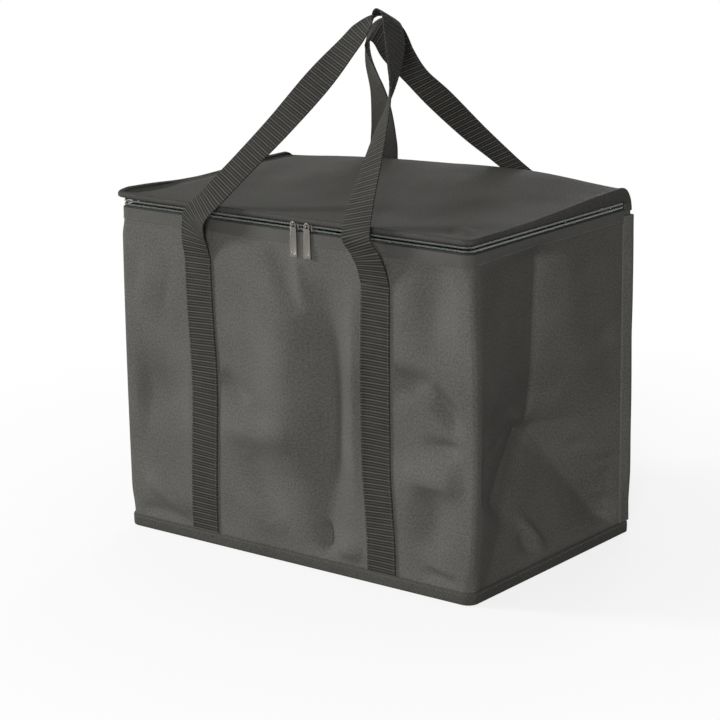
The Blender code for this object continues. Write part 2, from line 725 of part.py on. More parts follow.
def pull_outline(x, axis_z):
    """Outline of the pull: a round eye on a plate that widens to its foot."""
    eye_radius = PULL_HOLE_RADIUS + PULL_BAND
    eye_z = axis_z - PULL_HOLE_RADIUS - PULL_BAND / 2
    foot_z = axis_z - PULL_LENGTH
    shoulder = math.asin(PULL_WAIST_WIDTH / 2 / eye_radius)
    turn_span = 2 * (math.pi - shoulder)
    points = []
    for step in range(EYE_STEPS + 1):
        turn = shoulder + turn_span * step / EYE_STEPS
        points.append((x + eye_radius * math.sin(turn), eye_z - eye_radius * math.cos(turn)))
    half = PULL_TIP_WIDTH / 2
    points += [(x - half, foot_z + PULL_FOOT), (x - half, foot_z)]
    points += [(x + half, foot_z), (x + half, foot_z + PULL_FOOT)]
    return points


def make_sliders():
    for side, x in zip(("left", "right"), SLIDER_XS):
        slide = add_pivot(side + "_slide", (x, slider_front(), ZIP_CENTRE))
        slider = add_object(side + "_slider", slider_body(x), nickel, slide, slide.location)
        staple = add_object(side + "_bail_shape", bail(x), nickel, slide, slide.location)
        add_boolean(slider, staple, "UNION")
        axis = Vector((x, slider_front() - BAIL_REACH / 2, ZIP_CENTRE + PULL_AXIS_UP))
        front, back = axis.y - PULL_THICKNESS / 2, axis.y + PULL_THICKNESS / 2
        outline = pull_outline(x, axis.z)
        plate = sweep([[(px, y, pz) for px, pz in outline] for y in (front, back)])
        pull = add_object(side + "_pull", plate, nickel, slide, axis)
        hole = bmesh.new()
        eye_z = axis.z - PULL_HOLE_RADIUS - PULL_BAND / 2
        bmesh.ops.create_cone(
            hole, cap_ends=True, segments=EYE_STEPS, radius1=PULL_HOLE_RADIUS,
            radius2=PULL_HOLE_RADIUS, depth=PULL_THICKNESS + CUT_OVERRUN,
            matrix=Matrix.Translation((x, axis.y, eye_z)) @ Matrix.Rotation(math.radians(90), 4, "X"),
        )
        add_boolean(pull, add_object(side + "_eye_cut", hole, nickel, slide, axis), "DIFFERENCE")
        half = PULL_WAIST_WIDTH / 2 - PULL_RECESS_EDGE
        low = (x - half, front - CUT_OVERRUN, axis.z - PULL_LENGTH + PULL_FOOT)
        high_z = eye_z - PULL_HOLE_RADIUS - PULL_BAND - PULL_RECESS_EDGE
        groove = box(low, (x + half, front + PULL_RECESS, high_z))
        add_boolean(pull, add_object(side + "_recess", groove, nickel, slide, axis), "DIFFERENCE")


def main():
    for old in list(bpy.data.objects):
        bpy.data.objects.remove(old, do_unlink=True)
    lid = add_pivot("lid_pivot", (0.0, HINGE_Y, HINGE_HEIGHT))
    make_outer_fabric()
    make_padding()
    make_liner()
    make_bindings()
    make_zip(lid)
    make_lid(lid)
    make_sewn_straps()
    make_handles()
    make_sliders()


main()
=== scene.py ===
import bpy
import math
from mathutils import Matrix, Vector, noise


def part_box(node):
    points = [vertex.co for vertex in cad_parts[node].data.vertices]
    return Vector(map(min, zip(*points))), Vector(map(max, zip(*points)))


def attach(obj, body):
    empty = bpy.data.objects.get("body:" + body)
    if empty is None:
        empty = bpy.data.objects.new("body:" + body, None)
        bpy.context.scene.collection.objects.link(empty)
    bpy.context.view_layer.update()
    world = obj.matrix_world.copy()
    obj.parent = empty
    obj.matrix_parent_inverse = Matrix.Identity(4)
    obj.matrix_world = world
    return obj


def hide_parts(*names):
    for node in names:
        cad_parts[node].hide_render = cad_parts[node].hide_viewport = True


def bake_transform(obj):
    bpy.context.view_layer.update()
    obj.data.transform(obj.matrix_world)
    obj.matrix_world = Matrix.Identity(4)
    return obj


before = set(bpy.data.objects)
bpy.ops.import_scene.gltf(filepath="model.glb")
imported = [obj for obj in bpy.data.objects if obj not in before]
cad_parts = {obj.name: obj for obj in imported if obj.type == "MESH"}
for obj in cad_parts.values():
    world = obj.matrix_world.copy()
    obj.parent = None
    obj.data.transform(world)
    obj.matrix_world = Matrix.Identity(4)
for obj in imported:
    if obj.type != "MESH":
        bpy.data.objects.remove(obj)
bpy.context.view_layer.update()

# The bag's own sizes in metres, as in the part's source,
# but the wallFoot is 2.8 mm lower and the foldDepth 4 mm deeper than there.
bag = {
    "halfWidth": 0.220, "halfDepth": 0.140, "wallTop": 0.342, "wallFoot": 0.0106,
    "corner": 0.010, "foldHalf": 0.1265, "foldRise": 0.140, "foldDepth": 0.030,
    "foldMouth": 0.007, "foldEase": 4, "foldClose": 6,
    "lidEdge": 0.356, "lidRoll": 0.015, "hinge": 0.340,
}


def deselect():
    for thing in bpy.context.selected_objects:
        thing.select_set(False)


def activate(thing):
    deselect()
    thing.select_set(True)
    bpy.context.view_layer.objects.active = thing


def applyModifier(thing, kind, **settings):
    activate(thing)
    modifier = thing.modifiers.new(kind.title(), kind)
    for key, value in settings.items():
        setattr(modifier, key, value)
    bpy.ops.object.modifier_apply(modifier=modifier.name)


def smoothShade(thing, degrees=40):
    activate(thing)
    bpy.ops.object.shade_smooth_by_angle(angle=math.radians(degrees))


def settle(thing):
    # puts the object's place into its mesh
    activate(thing)
    bpy.ops.object.transform_apply(location=True, rotation=True, scale=True)


def joinAll(name, things):
    deselect()
    for thing in things:
        thing.select_set(True)
    bpy.context.view_layer.objects.active = things[0]
    if len(things) > 1:
        bpy.ops.object.join()
    things[0].name = name
    return things[0]


def copyTo(thing, matrix):
    twin = bpy.data.objects.new(thing.name, thing.data.copy())
    bpy.context.collection.objects.link(twin)
    twin.data.transform(matrix)
    return twin


def repeatAt(name, model, matrices):
    # one model copied to every place, then joined
    copies = [copyTo(model, matrix) for matrix in matrices]
    bpy.data.objects.remove(model)
    return joinAll(name, copies)


def clothGrid(name, columns, rows, size, place, spread=lambda u: u):
    # a grid shaped by place(u, v), with its flat cut in metres as its UV map; spread sets how close the columns lie
    deselect()
    bpy.ops.mesh.primitive_grid_add(x_subdivisions=columns, y_subdivisions=rows, size=1)
    cloth = bpy.context.object
    cloth.name = name
    flatMap = cloth.data.uv_layers[0].data
    for corner in flatMap:
        corner.uv = (spread(corner.uv[0]) * size[0], corner.uv[1] * size[1])
    for vertex in cloth.data.vertices:
        vertex.co = place(spread(vertex.co.x + 0.5), vertex.co.y + 0.5)
    cloth.data.update()
    return cloth


def thicken(cloth, thickness, offset=-1.0):
    applyModifier(cloth, "SOLIDIFY", thickness=thickness, offset=offset, use_even_offset=False)


def editAll(thing, *steps):
    # runs edit steps on the whole mesh
    activate(thing)
    bpy.ops.object.mode_set(mode="EDIT")
    bpy.ops.mesh.select_all(action="SELECT")
    for step in steps:
        step()
    bpy.ops.object.mode_set(mode="OBJECT")


def mergeDoubles():
    bpy.ops.mesh.remove_doubles(threshold=0.00005)


def turnOutwards():
    bpy.ops.mesh.normals_make_consistent(inside=False)


def bevelEdges(thing, chosen, offset, segments):
    # rounds the edges whose two ends chosen(a, b) picks
    activate(thing)
    bpy.ops.object.mode_set(mode="EDIT")
    bpy.ops.mesh.select_mode(type="EDGE")
    bpy.ops.mesh.select_all(action="DESELECT")
    bpy.ops.object.mode_set(mode="OBJECT")
    for edge in thing.data.edges:
        edge.select = chosen(*(thing.data.vertices[index].co for index in edge.vertices))
    bpy.ops.object.mode_set(mode="EDIT")
    bpy.ops.mesh.bevel(offset=offset, segments=segments, affect="EDGES")
    bpy.ops.object.mode_set(mode="OBJECT")


def smooth(value):
    value = min(max(value, 0.0), 1.0)
    return value * value * (3 - 2 * value)


def ramp(value, low, high):
    return smooth((value - low) / (high - low))


def smoothPoint(points, at):
    # a point of the smooth line through the points
    last = len(points) - 1
    here = min(int(at), last - 1)
    t = at - here
    a, b = points[max(here - 1, 0)], points[here]
    c, d = points[here + 1], points[min(here + 2, last)]
    return (2 * b + (c - a) * t + (2 * a - 5 * b + 4 * c - d) * t * t + (3 * (b - c) + d - a) * t ** 3) / 2


def finishPiece(piece, body, material, nodes=()):
    piece.data.materials.clear()
    piece.data.materials.append(material)
    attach(piece, body)
    if nodes:
        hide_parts(*nodes)
    return piece


class Wire:
    # an output of a material's node, which takes part in sums as a number does
    def __init__(self, finish, socket):
        self.finish, self.socket = finish, socket

    def sum(self, operation, first, second):
        return self.finish.node("ShaderNodeMath", {"operation": operation}, {0: first, 1: second})

    def __add__(self, other):
        return self.sum("ADD", self, other)

    def __radd__(self, other):
        return self.sum("ADD", other, self)

    def __sub__(self, other):
        return self.sum("SUBTRACT", self, other)

    def __rsub__(self, other):
        return self.sum("SUBTRACT", other, self)

    def __mul__(self, other):
        return self.sum("MULTIPLY", self, other)

    def __rmul__(self, other):
        return self.sum("MULTIPLY", other, self)

    def __pow__(self, other):
        return self.sum("POWER", self, other)

    def wave(self):
        # a sine of the value, from 0 to 1
        return self.finish.node("ShaderNodeMath", {"operation": "SINE"}, {0: self}) * 0.5 + 0.5

    def clip(self, low, high):
        return self.finish.node("ShaderNodeMapRange", {"clamp": True},
                                {"Value": self, "From Min": low, "From Max": high})


class Finish:
    # a material with one Principled shader
    def __init__(self, name, colour, roughness, **constants):
        self.material = bpy.data.materials.new(name)
        self.material.use_nodes = True
        self.tree = self.material.node_tree
        self.shader = self.tree.nodes["Principled BSDF"]
        self.shader.inputs["Base Color"].default_value = (*colour, 1)
        self.shader.inputs["Roughness"].default_value = roughness
        for key, value in constants.items():
            self.shader.inputs[key.replace("_", " ")].default_value = value

    def node(self, kind, settings=None, values=None, output=0):
        made = self.tree.nodes.new(kind)
        for key, value in (settings or {}).items():
            setattr(made, key, value)
        for key, value in (values or {}).items():
            if isinstance(value, Wire):
                self.tree.links.new(value.socket, made.inputs[key])
            else:
                made.inputs[key].default_value = value
        return Wire(self, made.outputs[output])

    def feed(self, name, wire):
        self.tree.links.new(wire.socket, self.shader.inputs[name])

    def place(self, source="Object"):
        return self.node("ShaderNodeTexCoord", output=source)

    def axes(self, vector):
        made = self.node("ShaderNodeSeparateXYZ", None, {0: vector})
        outputs = made.socket.node.outputs
        return [Wire(self, outputs[name]) for name in ("X", "Y")]

    def grain(self, vector, scale, detail=2.0, roughness=0.5):
        return self.node("ShaderNodeTexNoise", None,
                         {"Vector": vector, "Scale": scale, "Detail": detail, "Roughness": roughness})

    def cells(self, vector, scale, randomness=1.0):
        return self.node("ShaderNodeTexVoronoi", None,
                         {"Vector": vector, "Scale": scale, "Randomness": randomness})

    def tint(self, factor, dark, light):
        mix = self.node("ShaderNodeMix", {"data_type": "RGBA"}, {0: factor, 6: (*dark, 1), 7: (*light, 1)}, 2)
        self.feed("Base Color", mix)

    def bump(self, height, distance, strength=1.0):
        made = self.node("ShaderNodeBump", None,
                         {"Height": height, "Distance": distance, "Strength": strength})
        self.feed("Normal", made)


def times(colour, share):
    return tuple(part * share for part in colour)


def nonwoven(name, colour):
    # spun fabric with small bonded dots, soft tone clouds and loose fibres
    finish = Finish(name, colour, 0.75, Specular_IOR_Level=0.05)
    flat = finish.place("UV")
    dots = finish.cells(flat, 560, 0.55).clip(0.12, 0.42)
    fibres = finish.grain(flat, 1300, 3.0, 0.7)
    clouds = finish.grain(flat, 14, 3.0, 0.55)
    patches = finish.grain(flat, 480, 2.5, 0.6).clip(0.34, 0.66)
    tone = clouds.clip(0.3, 0.7) * 0.22 + fibres * 0.3 + dots * 0.12 + patches * 0.5 - 0.07
    finish.tint(tone, times(colour, 0.55), times(colour, 1.45))
    finish.feed("Roughness", 0.68 + fibres * 0.16)
    finish.bump(dots * 0.4 + fibres * 0.5 + patches * 0.5, 0.00022, 0.8)
    return finish.material


def webbingFinish(name, colour, pitch):
    # ribbed webbing: every other rib is lighter and each rib's crest lighter than the groove beside it, painted
    # shade that follows the ribs' relief, and the warp threads break the ribs into dots
    finish = Finish(name, colour, 0.75, Specular_IOR_Level=0.08)
    flat = finish.place("UV")
    across, along = finish.axes(flat)
    rib = (along * (2 * math.pi / pitch)).wave()
    tallRibPaintedLight = (along * (math.pi / pitch) + math.pi / 4).wave()
    warp = (across * (2 * math.pi / 0.0019)).wave()
    fuzz = finish.grain(flat, 1500, 3.0, 0.7)
    wear = finish.grain(flat, 50, 2.0, 0.5)
    # rib and tallRibPaintedLight follow the ribs' relief: painted shade in the grooves, painted light on the crests
    # and on every other, taller rib
    tone = rib * rib * (tallRibPaintedLight * 0.50 + 0.42) * (warp * 0.80 + 0.50) + fuzz * 0.36 + wear * 0.20 - 0.22
    finish.tint(tone, times(colour, 0.40), times(colour, 2.6))
    finish.feed("Roughness", 0.66 + fuzz * 0.2)
    finish.bump(warp * 0.7 + fuzz * 0.5, 0.00018, 0.8)
    return finish.material


def wovenFinish(name, colour, pitch):
    # fine plain weave, for tapes and bindings
    finish = Finish(name, colour, 0.7, Specular_IOR_Level=0.16)
    flat = finish.place("UV")
    across, along = finish.axes(flat)
    warp = (across * (2 * math.pi / pitch)).wave()
    weft = (along * (2 * math.pi / pitch)).wave()
    fuzz = finish.grain(flat, 1600, 3.0, 0.7)
    clouds = finish.grain(flat, 40, 2.0, 0.5)
    tone = warp * 0.2 + weft * 0.3 + fuzz * 0.4 + clouds * 0.35 - 0.15
    finish.tint(tone, times(colour, 0.6), times(colour, 1.4))
    finish.bump(warp * 0.4 + weft * 0.6 + fuzz * 0.4, 0.00014, 0.8)
    return finish.material


def coilFinish(name, colour):
    finish = Finish(name, colour, 0.36, Specular_IOR_Level=0.6)
    spot = finish.place()
    shade = finish.grain(spot, 900, 2.0)
    finish.tint(shade, times(colour, 0.7), times(colour, 1.3))
    finish.feed("Roughness", 0.28 + shade * 0.16)
    return finish.material


def nickelFinish(name, colour):
    finish = Finish(name, colour, 0.3, Metallic=1.0)
    spot = finish.place()
    wear = finish.grain(spot, 260, 3.0, 0.6)
    scratch = finish.grain(spot, 1900, 2.0, 0.5)
    finish.tint(wear, times(colour, 0.82), times(colour, 1.14))
    finish.feed("Roughness", 0.20 + wear * 0.16 + scratch * 0.08)
    finish.bump(scratch, 0.00002, 0.5)
    return finish.material


def foilFinish(name, colour):
    finish = Finish(name, colour, 0.25, Metallic=0.9)
    spot = finish.place()
    crinkle = finish.cells(spot, 60, 1.0)
    fine = finish.grain(spot, 220, 3.0, 0.6)
    finish.tint(fine, times(colour, 0.85), times(colour, 1.12))
    finish.feed("Roughness", 0.18 + fine * 0.18)
    finish.bump(crinkle * 0.7 + fine * 0.5, 0.0006, 0.6)
    return finish.material


def foamFinish(name, colour):
    finish = Finish(name, colour, 0.9)
    spot = finish.place()
    cells = finish.cells(spot, 900, 1.0)
    finish.tint(cells, times(colour, 0.85), times(colour, 1.06))
    finish.bump(cells, 0.0002, 0.8)
    return finish.material


def boardFinish(name, colour):
    finish = Finish(name, colour, 0.75)
    spot = finish.place()
    fibre = finish.grain(spot, 420, 4.0, 0.65)
    stain = finish.grain(spot, 12, 2.0, 0.5)
    finish.tint(fibre * 0.7 + stain * 0.3, times(colour, 0.8), times(colour, 1.12))
    finish.bump(fibre, 0.0002, 0.6)
    return finish.material


def threadFinish(name, colour):
    finish = Finish(name, colour, 0.6, Sheen_Weight=0.2)
    twist = finish.grain(finish.place(), 2600, 1.0)
    finish.tint(twist, times(colour, 0.7), times(colour, 1.3))
    return finish.material


charcoal = (0.080, 0.0780, 0.0715)
finishes = {
    "wrap": nonwoven("wrapFabric", charcoal),
    # the lid and back cloth is the wrap's charcoal made darker: painted shade for the lid, which faces up and gets
    # less light
    "back": nonwoven("lidAndBackFabricPaintedShade", times(charcoal, 0.83)),
    "base": nonwoven("baseFabric", times(charcoal, 0.9)),
    "binding": nonwoven("seamBinding", times(charcoal, 0.62)),
    # the back seam binding is the charcoal made lighter: painted highlight for light catching its rounded edge
    "flange": nonwoven("backSeamBindingPaintedHighlight", times(charcoal, 1.15)),
    "hem": wovenFinish("hemTape", times(charcoal, 0.78), 0.0009),
    "webbing": webbingFinish("webbingWeave", (0.034, 0.0330, 0.0297), 0.00282),
    "tape": wovenFinish("zipTape", (0.026, 0.028, 0.025), 0.0007),
    "coil": coilFinish("zipCoil", (0.105, 0.115, 0.103)),
    "nickel": nickelFinish("satinNickel", (0.19, 0.18, 0.165)),
    "foam": foamFinish("whiteFoam", (0.72, 0.72, 0.70)),
    "foil": foilFinish("silverFilm", (0.66, 0.67, 0.68)),
    "board": boardFinish("pressedBoard", (0.50, 0.50, 0.48)),
    "thread": threadFinish("darkThread", (0.030, 0.029, 0.026)),
}
print("materials made")


def finishCloth(cloth, thickness, degrees, body, material, nodes=()):
    thicken(cloth, thickness)
    smoothShade(cloth, degrees)
    return finishPiece(cloth, body, material, nodes)

# The wall of the bag: left side, front and right side are one run.
sideRun = bag["halfDepth"] - 0.001 - (bag["corner"] - bag["halfDepth"])
cornerRun = bag["corner"] * math.pi / 2
frontRun = 2 * (bag["halfWidth"] - bag["corner"])
wallRun = 2 * sideRun + 2 * cornerRun + frontRun


def planPlace(run):
    # (x, y) on the wall's outline and its outward direction, run metres from the back left edge
    w, d, r = bag["halfWidth"], bag["halfDepth"], bag["corner"]
    if run <= sideRun:
        return (-w, d - 0.001 - run), (-1.0, 0.0)
    run -= sideRun
    if run <= cornerRun:
        turn = run / r
        out = (-math.cos(turn), -math.sin(turn))
        return (r - w + r * out[0], r - d + r * out[1]), out
    run -= cornerRun
    if run <= frontRun:
        return (r - w + run, -d), (0.0, -1.0)
    run -= frontRun
    if run <= cornerRun:
        turn = run / r
        out = (math.sin(turn), -math.cos(turn))
        return (w - r + r * out[0], r - d + r * out[1]), out
    run -= cornerRun
    return (w, r - d + run), (1.0, 0.0)


def foldDepth(y, z):
    # how far a side is folded inwards: the formula in the part's source, with its lines rounded
    across = max(0.0, 1.0 - abs(y) / bag["foldHalf"])
    # the fold's line is a little rounded, as foam and cloth make it
    across = across - 0.045 * math.exp(-(abs(y) / 0.010) ** 2)
    if z >= bag["wallTop"]:
        return 0.0
    if z <= bag["foldRise"]:
        rise = z / bag["foldRise"]
        gap = rise - across
        blend = 0.5 * (rise + across - math.sqrt(gap * gap + 0.0025))
        return bag["foldDepth"] * max(blend, 0.0)
    up = (z - bag["foldRise"]) / (bag["wallTop"] - bag["foldRise"])
    depth = (bag["foldDepth"] - bag["foldMouth"]) * (1 - up) ** bag["foldEase"]
    depth += bag["foldMouth"] * (1 - up ** bag["foldClose"])
    return depth * across


def ridge(x, z, start, end, width, height):
    # a soft fold along a line: height is out of the cloth, or into it if negative
    ax, az = start
    bx, bz = end
    lx, lz = bx - ax, bz - az
    length = lx * lx + lz * lz
    share = 0.0 if length == 0 else min(max(((x - ax) * lx + (z - az) * lz) / length, 0.0), 1.0)
    dx, dz = x - ax - share * lx, z - az - share * lz
    taper = 0.15 + 0.85 * math.sin(math.pi * share) ** 0.8 if length else 1.0
    return height * taper * math.exp(-(dx * dx + dz * dz) / (width * width))


sideCrease = {"foot": 0.136, "top": 0.338, "footX": 0.100, "topX": 0.113, "lean": 1.30, "wide": 0.046,
              "narrow": 0.014, "depth": 0.0160, "edge": 0.0135}


def sideDepth(x, z):
    # how far a side is folded in, x metres behind its front edge: the part's fold, moved forward to the crease,
    # and deeper along it, so that the cloth runs slowly in to the crease and steeply out behind it
    crease = sideCrease
    up = min(max((z - crease["foot"]) / (crease["top"] - crease["foot"]), 0.0), 1.0)
    extra = crease["depth"] * ramp(up, 0.0, 0.22) * ramp(1.02 - up, 0.0, 0.14)
    # the crease looks straight from the front right, so it lies further back where it is deeper
    line = crease["footX"] + (crease["topX"] - crease["footX"]) * up
    line += crease["lean"] * (foldDepth(0.0, max(z, bag["foldRise"])) + extra)
    middle = bag["halfDepth"]
    moved = (x - line) * middle / (line if x < line else 2 * middle - line)
    if x < line:
        extra *= max(0.0, (x - crease["edge"]) / (line - crease["edge"]))
    else:
        wide = crease["narrow"] + (crease["wide"] - crease["narrow"]) * math.sin(math.pi * up ** 0.85) ** 0.7
        left = 1.0 - (x - line) / wide
        extra *= 0.32 * (left + math.sqrt(left * left + 0.03)) + 0.36 * math.exp(-(x - line) / (0.22 * wide))
    return foldDepth(moved, z) + extra


# (start, end, width, height) in metres: from the left edge of the face, and above the floor
frontFolds = (
    # the long folds between the straps
    ((0.216, 0.300), (0.224, 0.090), 0.032, 0.0120), ((0.195, 0.320), (0.205, 0.150), 0.050, 0.0030),
    ((0.268, 0.300), (0.264, 0.000), 0.020, -0.0165), ((0.304, 0.300), (0.303, 0.080), 0.012, 0.0070),
    ((0.200, 0.325), (0.240, 0.262), 0.012, -0.0065), ((0.130, 0.129), (0.228, 0.131), 0.018, 0.0090),
    ((0.132, 0.188), (0.166, 0.158), 0.011, -0.0070), ((0.275, 0.030), (0.308, 0.022), 0.012, 0.0065),
    ((0.257, 0.050), (0.263, 0.014), 0.007, -0.0080), ((0.165, 0.105), (0.205, 0.045), 0.016, -0.0048),
    ((0.232, 0.316), (0.244, 0.270), 0.006, 0.0030), ((0.150, 0.060), (0.215, 0.030), 0.014, 0.0034),
    # right of the right strap
    ((0.345, 0.213), (0.392, 0.206), 0.013, -0.0100), ((0.388, 0.208), (0.428, 0.168), 0.010, -0.0120),
    ((0.384, 0.152), (0.437, 0.153), 0.007, -0.0060), ((0.362, 0.118), (0.438, 0.120), 0.018, 0.0080),
    ((0.391, 0.112), (0.393, 0.044), 0.019, -0.0110), ((0.396, 0.332), (0.394, 0.230), 0.021, -0.0100),
    ((0.380, 0.014), (0.432, 0.009), 0.012, -0.0110), ((0.384, 0.038), (0.432, 0.022), 0.006, 0.0040),
    # left of the left strap
    ((0.010, 0.150), (0.085, 0.148), 0.038, -0.0090), ((0.006, 0.014), (0.074, 0.009), 0.012, -0.0100),
    ((0.026, 0.056), (0.088, 0.028), 0.010, 0.0070), ((0.020, 0.272), (0.060, 0.262), 0.028, 0.0036),
)
# the same on a side, from its front edge
sideFolds = (
    ((0.100, 0.152), (0.006, 0.140), 0.0035, -0.0020),
    ((0.088, 0.060), (0.132, 0.020), 0.0060, 0.0062), ((0.086, 0.044), (0.118, 0.012), 0.0080, -0.0040),
    ((0.215, 0.098), (0.258, 0.092), 0.0050, 0.0020), ((0.222, 0.078), (0.260, 0.080), 0.0040, 0.0016),
    ((0.225, 0.052), (0.260, 0.050), 0.0040, 0.0016), ((0.228, 0.034), (0.260, 0.032), 0.0036, 0.0014),
    ((0.180, 0.112), (0.218, 0.108), 0.0070, -0.0022), ((0.215, 0.222), (0.252, 0.218), 0.0090, -0.0020),
    ((0.170, 0.200), (0.240, 0.198), 0.0140, 0.0016), ((0.045, 0.300), (0.050, 0.200), 0.020, -0.0012),
)
# (start, end, width, depth) of pleats: the cloth runs in to the line and steeply out on its other side
sidePleats = (((0.102, 0.150), (0.036, 0.078), 0.026, 0.0115), ((0.106, 0.150), (0.262, 0.008), 0.026, 0.0135))


def pleat(x, z, start, end, width, depth):
    lx, lz = end[0] - start[0], end[1] - start[1]
    length = math.hypot(lx, lz)
    share = ((x - start[0]) * lx + (z - start[1]) * lz) / length ** 2
    # how far behind the line, towards the back and up
    behind = ((x - start[0]) * abs(lz) + (z - start[1]) * lx) / length
    fall = math.exp(-behind / width) if behind > 0 else math.exp(behind / (1.6 * width))
    return -depth * fall * ramp(share, -0.05, 0.12) * ramp(1 - share, -0.08, 0.15)


strapPlaces = {"x": 0.114, "top": 0.302, "foot": 0.0134}


def frontLeftWander(z):
    return 0.0046 * math.exp(-((z - 0.17) / 0.075) ** 2) - 0.0006


def frontRightWander(z):
    return -0.0050 * ramp(z, 0.02, 0.13) + 0.0012 * ramp(z, 0.20, 0.29)


def wallSwell(face, x, z):
    # how far the cloth of a face stands out from the plain bag there
    folds = frontFolds if face == "front" else sideFolds
    shift = 0.0 if face == "front" else 1.1 * foldDepth(x - bag["halfDepth"], z)
    swell = sum(ridge(x - shift, z, *fold) for fold in folds)
    if face != "front":
        swell += sum(pleat(x - shift, z, *fold) for fold in sidePleats)
    seed = {"front": 0.0, "left": 11.0, "right": 23.0}[face]
    swell += 0.0006 * noise.noise(Vector((x * 22, z * 16, seed)))
    swell += 0.00022 * noise.noise(Vector((x * 70, z * 55, seed + 5)))
    edge = ramp(z, 0.0134, 0.028) * ramp(bag["wallTop"] - z, 0.006, 0.022)
    if face == "front":
        # the sewn straps hold the cloth nearly flat
        for side, wander in ((-1, frontLeftWander), (1, frontRightWander)):
            reach = abs(x - bag["halfWidth"] - side * strapPlaces["x"] - wander(z))
            edge *= 1 - math.exp(-(reach / 0.022) ** 4) * (0.82 + 0.18 * ramp(z, 0.270, 0.292))
    else:
        edge *= ramp(x, 0.004, 0.02) * ramp(2 * bag["halfDepth"] - x, 0.012, 0.03)
    return swell * edge


def cornerSharpness(out, z):
    # the upright corners are nearly square between the hem and the base
    power = 4.5
    reach = (abs(out[0]) ** power + abs(out[1]) ** power) ** (-1 / power) - 1
    return bag["corner"] * reach * ramp(z, 0.016, 0.045) * ramp(bag["wallTop"] - z, 0.010, 0.030)


def cornerBulge(x, y, z):
    # the filled corners stand out sideways at mid height
    amount = 0.0065 if x > 0 else 0.0015
    amount *= math.sin(math.pi * min(max((z - 0.015) / 0.318, 0.0), 1.0)) ** 0.8
    near = math.exp(-((abs(x) - bag["halfWidth"]) / 0.045) ** 2 - ((y + bag["halfDepth"]) / 0.075) ** 2)
    return math.copysign(amount * near, x)


def wallPoint(run, z, inset=0.0):
    (x, y), out = planPlace(run)
    depth = -inset
    if run < sideRun:
        depth += wallSwell("left", y + bag["halfDepth"], z) - sideDepth(y + bag["halfDepth"], z)
    elif run > wallRun - sideRun:
        depth += wallSwell("right", y + bag["halfDepth"], z) - sideDepth(y + bag["halfDepth"], z)
    elif sideRun + cornerRun <= run <= wallRun - sideRun - cornerRun:
        near = min(run - sideRun - cornerRun, wallRun - sideRun - cornerRun - run)
        depth += wallSwell("front", x + bag["halfWidth"], z) * ramp(near, 0.0, 0.02)
    else:
        depth += cornerSharpness(out, z)
    return Vector((x + out[0] * depth + cornerBulge(x, y, z), y + out[1] * depth, z))


def frontY(x, z):
    # the cloth's y on the front face
    run = sideRun + cornerRun + (x + bag["halfWidth"] - bag["corner"])
    return wallPoint(run, z).y


# columns on the left side, a corner, the front, a corner and the right side
wallSheet = {"columns": (60, 12, 150, 12, 84), "rows": 108, "thickness": 0.0008}


def wallSpread(u):
    # from a share of the columns to a share of the wall's run
    at, run = u * sum(wallSheet["columns"]), 0.0
    for columns, length in zip(wallSheet["columns"], (sideRun, cornerRun, frontRun, cornerRun, sideRun)):
        if at <= columns:
            return (run + length * at / columns) / wallRun
        at, run = at - columns, run + length
    return 1.0


def makeWall():
    foot, top = bag["wallFoot"], bag["wallTop"]
    size = (wallRun, top - foot)
    wall = clothGrid("wrap_cloth", sum(wallSheet["columns"]), wallSheet["rows"], size,
                     lambda u, v: wallPoint(u * wallRun, foot + v * (top - foot)), wallSpread)
    finishCloth(wall, wallSheet["thickness"], 60, "bag", finishes["wrap"], ["wrap_panel"])
    return wall


makeWall()
print("wall made")

# The lid and the back are one cloth that bends at the hinge.
lidCrown = {"heights": (0.003, 0.0105, 0.0145, 0.0165, 0.0085), "power": 2.4, "tip": (-0.0050, -0.0010, 0.0010)}


def lidHeight(x, y):
    # the lid rises to its back edge, most to the right of the middle
    along = (y + bag["halfDepth"]) / (2 * bag["halfDepth"] - bag["lidRoll"])
    along = min(max(along, 0.0), 1.0)
    across = min(max((x / bag["halfWidth"] + 1) / 2, 0.0), 1.0)
    height = smoothPoint(lidCrown["heights"], across * (len(lidCrown["heights"]) - 1))
    return bag["lidEdge"] + height * math.sin(math.pi / 2 * along ** lidCrown["power"])


def lidTip(x, y):
    # the front left corner is drawn out to a point
    far = (x + bag["halfWidth"]) ** 2 + (y + bag["halfDepth"]) ** 2
    return Vector(lidCrown["tip"]) * math.exp(-far / 0.026 ** 2)


def flangeLift(fromFront):
    # the left edge is turned up at its two ends and sags between them
    lift = 0.0030 * ramp(fromFront, 0.0, 0.02) * (1 - ramp(fromFront, 0.03, 0.10))
    return lift + 0.0020 * ramp(fromFront, 0.19, 0.235) - 0.0014 * math.exp(-((fromFront - 0.14) / 0.06) ** 2)


lidFolds = (
    ((0.398, 0.046), (0.424, 0.022), 0.0065, 0.0022),
    ((0.386, 0.036), (0.410, 0.014), 0.0055, -0.0014),
    ((0.175, 0.16), (0.20, 0.05), 0.030, -0.0012),
    ((0.300, 0.20), (0.320, 0.08), 0.030, -0.0014),
    ((0.110, 0.20), (0.130, 0.10), 0.028, 0.0012),
)


def lidPoint(x, y):
    z = lidHeight(x, y)
    fromLeft, fromFront = x + bag["halfWidth"], y + bag["halfDepth"]
    edge = ramp(fromLeft, 0, 0.012) * ramp(2 * bag["halfWidth"] - fromLeft, 0, 0.010)
    edge *= ramp(fromFront, 0, 0.010)
    z += edge * sum(ridge(fromLeft, fromFront, *fold) for fold in lidFolds)
    z += edge * 0.0008 * noise.noise(Vector((x * 18, y * 18, 3.0)))
    z += flangeLift(fromFront) * (1 - ramp(fromLeft, 0.0, 0.007))
    z -= 0.0012 * ramp(fromFront, 0.0, 0.02) * math.exp(-((fromLeft - 0.012) / 0.006) ** 2)
    return Vector((x, y, z)) + lidTip(x, y)


lidSheet = {"columns": 168, "crownRows": 92, "rollRows": 12, "backRows": 92, "thickness": 0.0008}


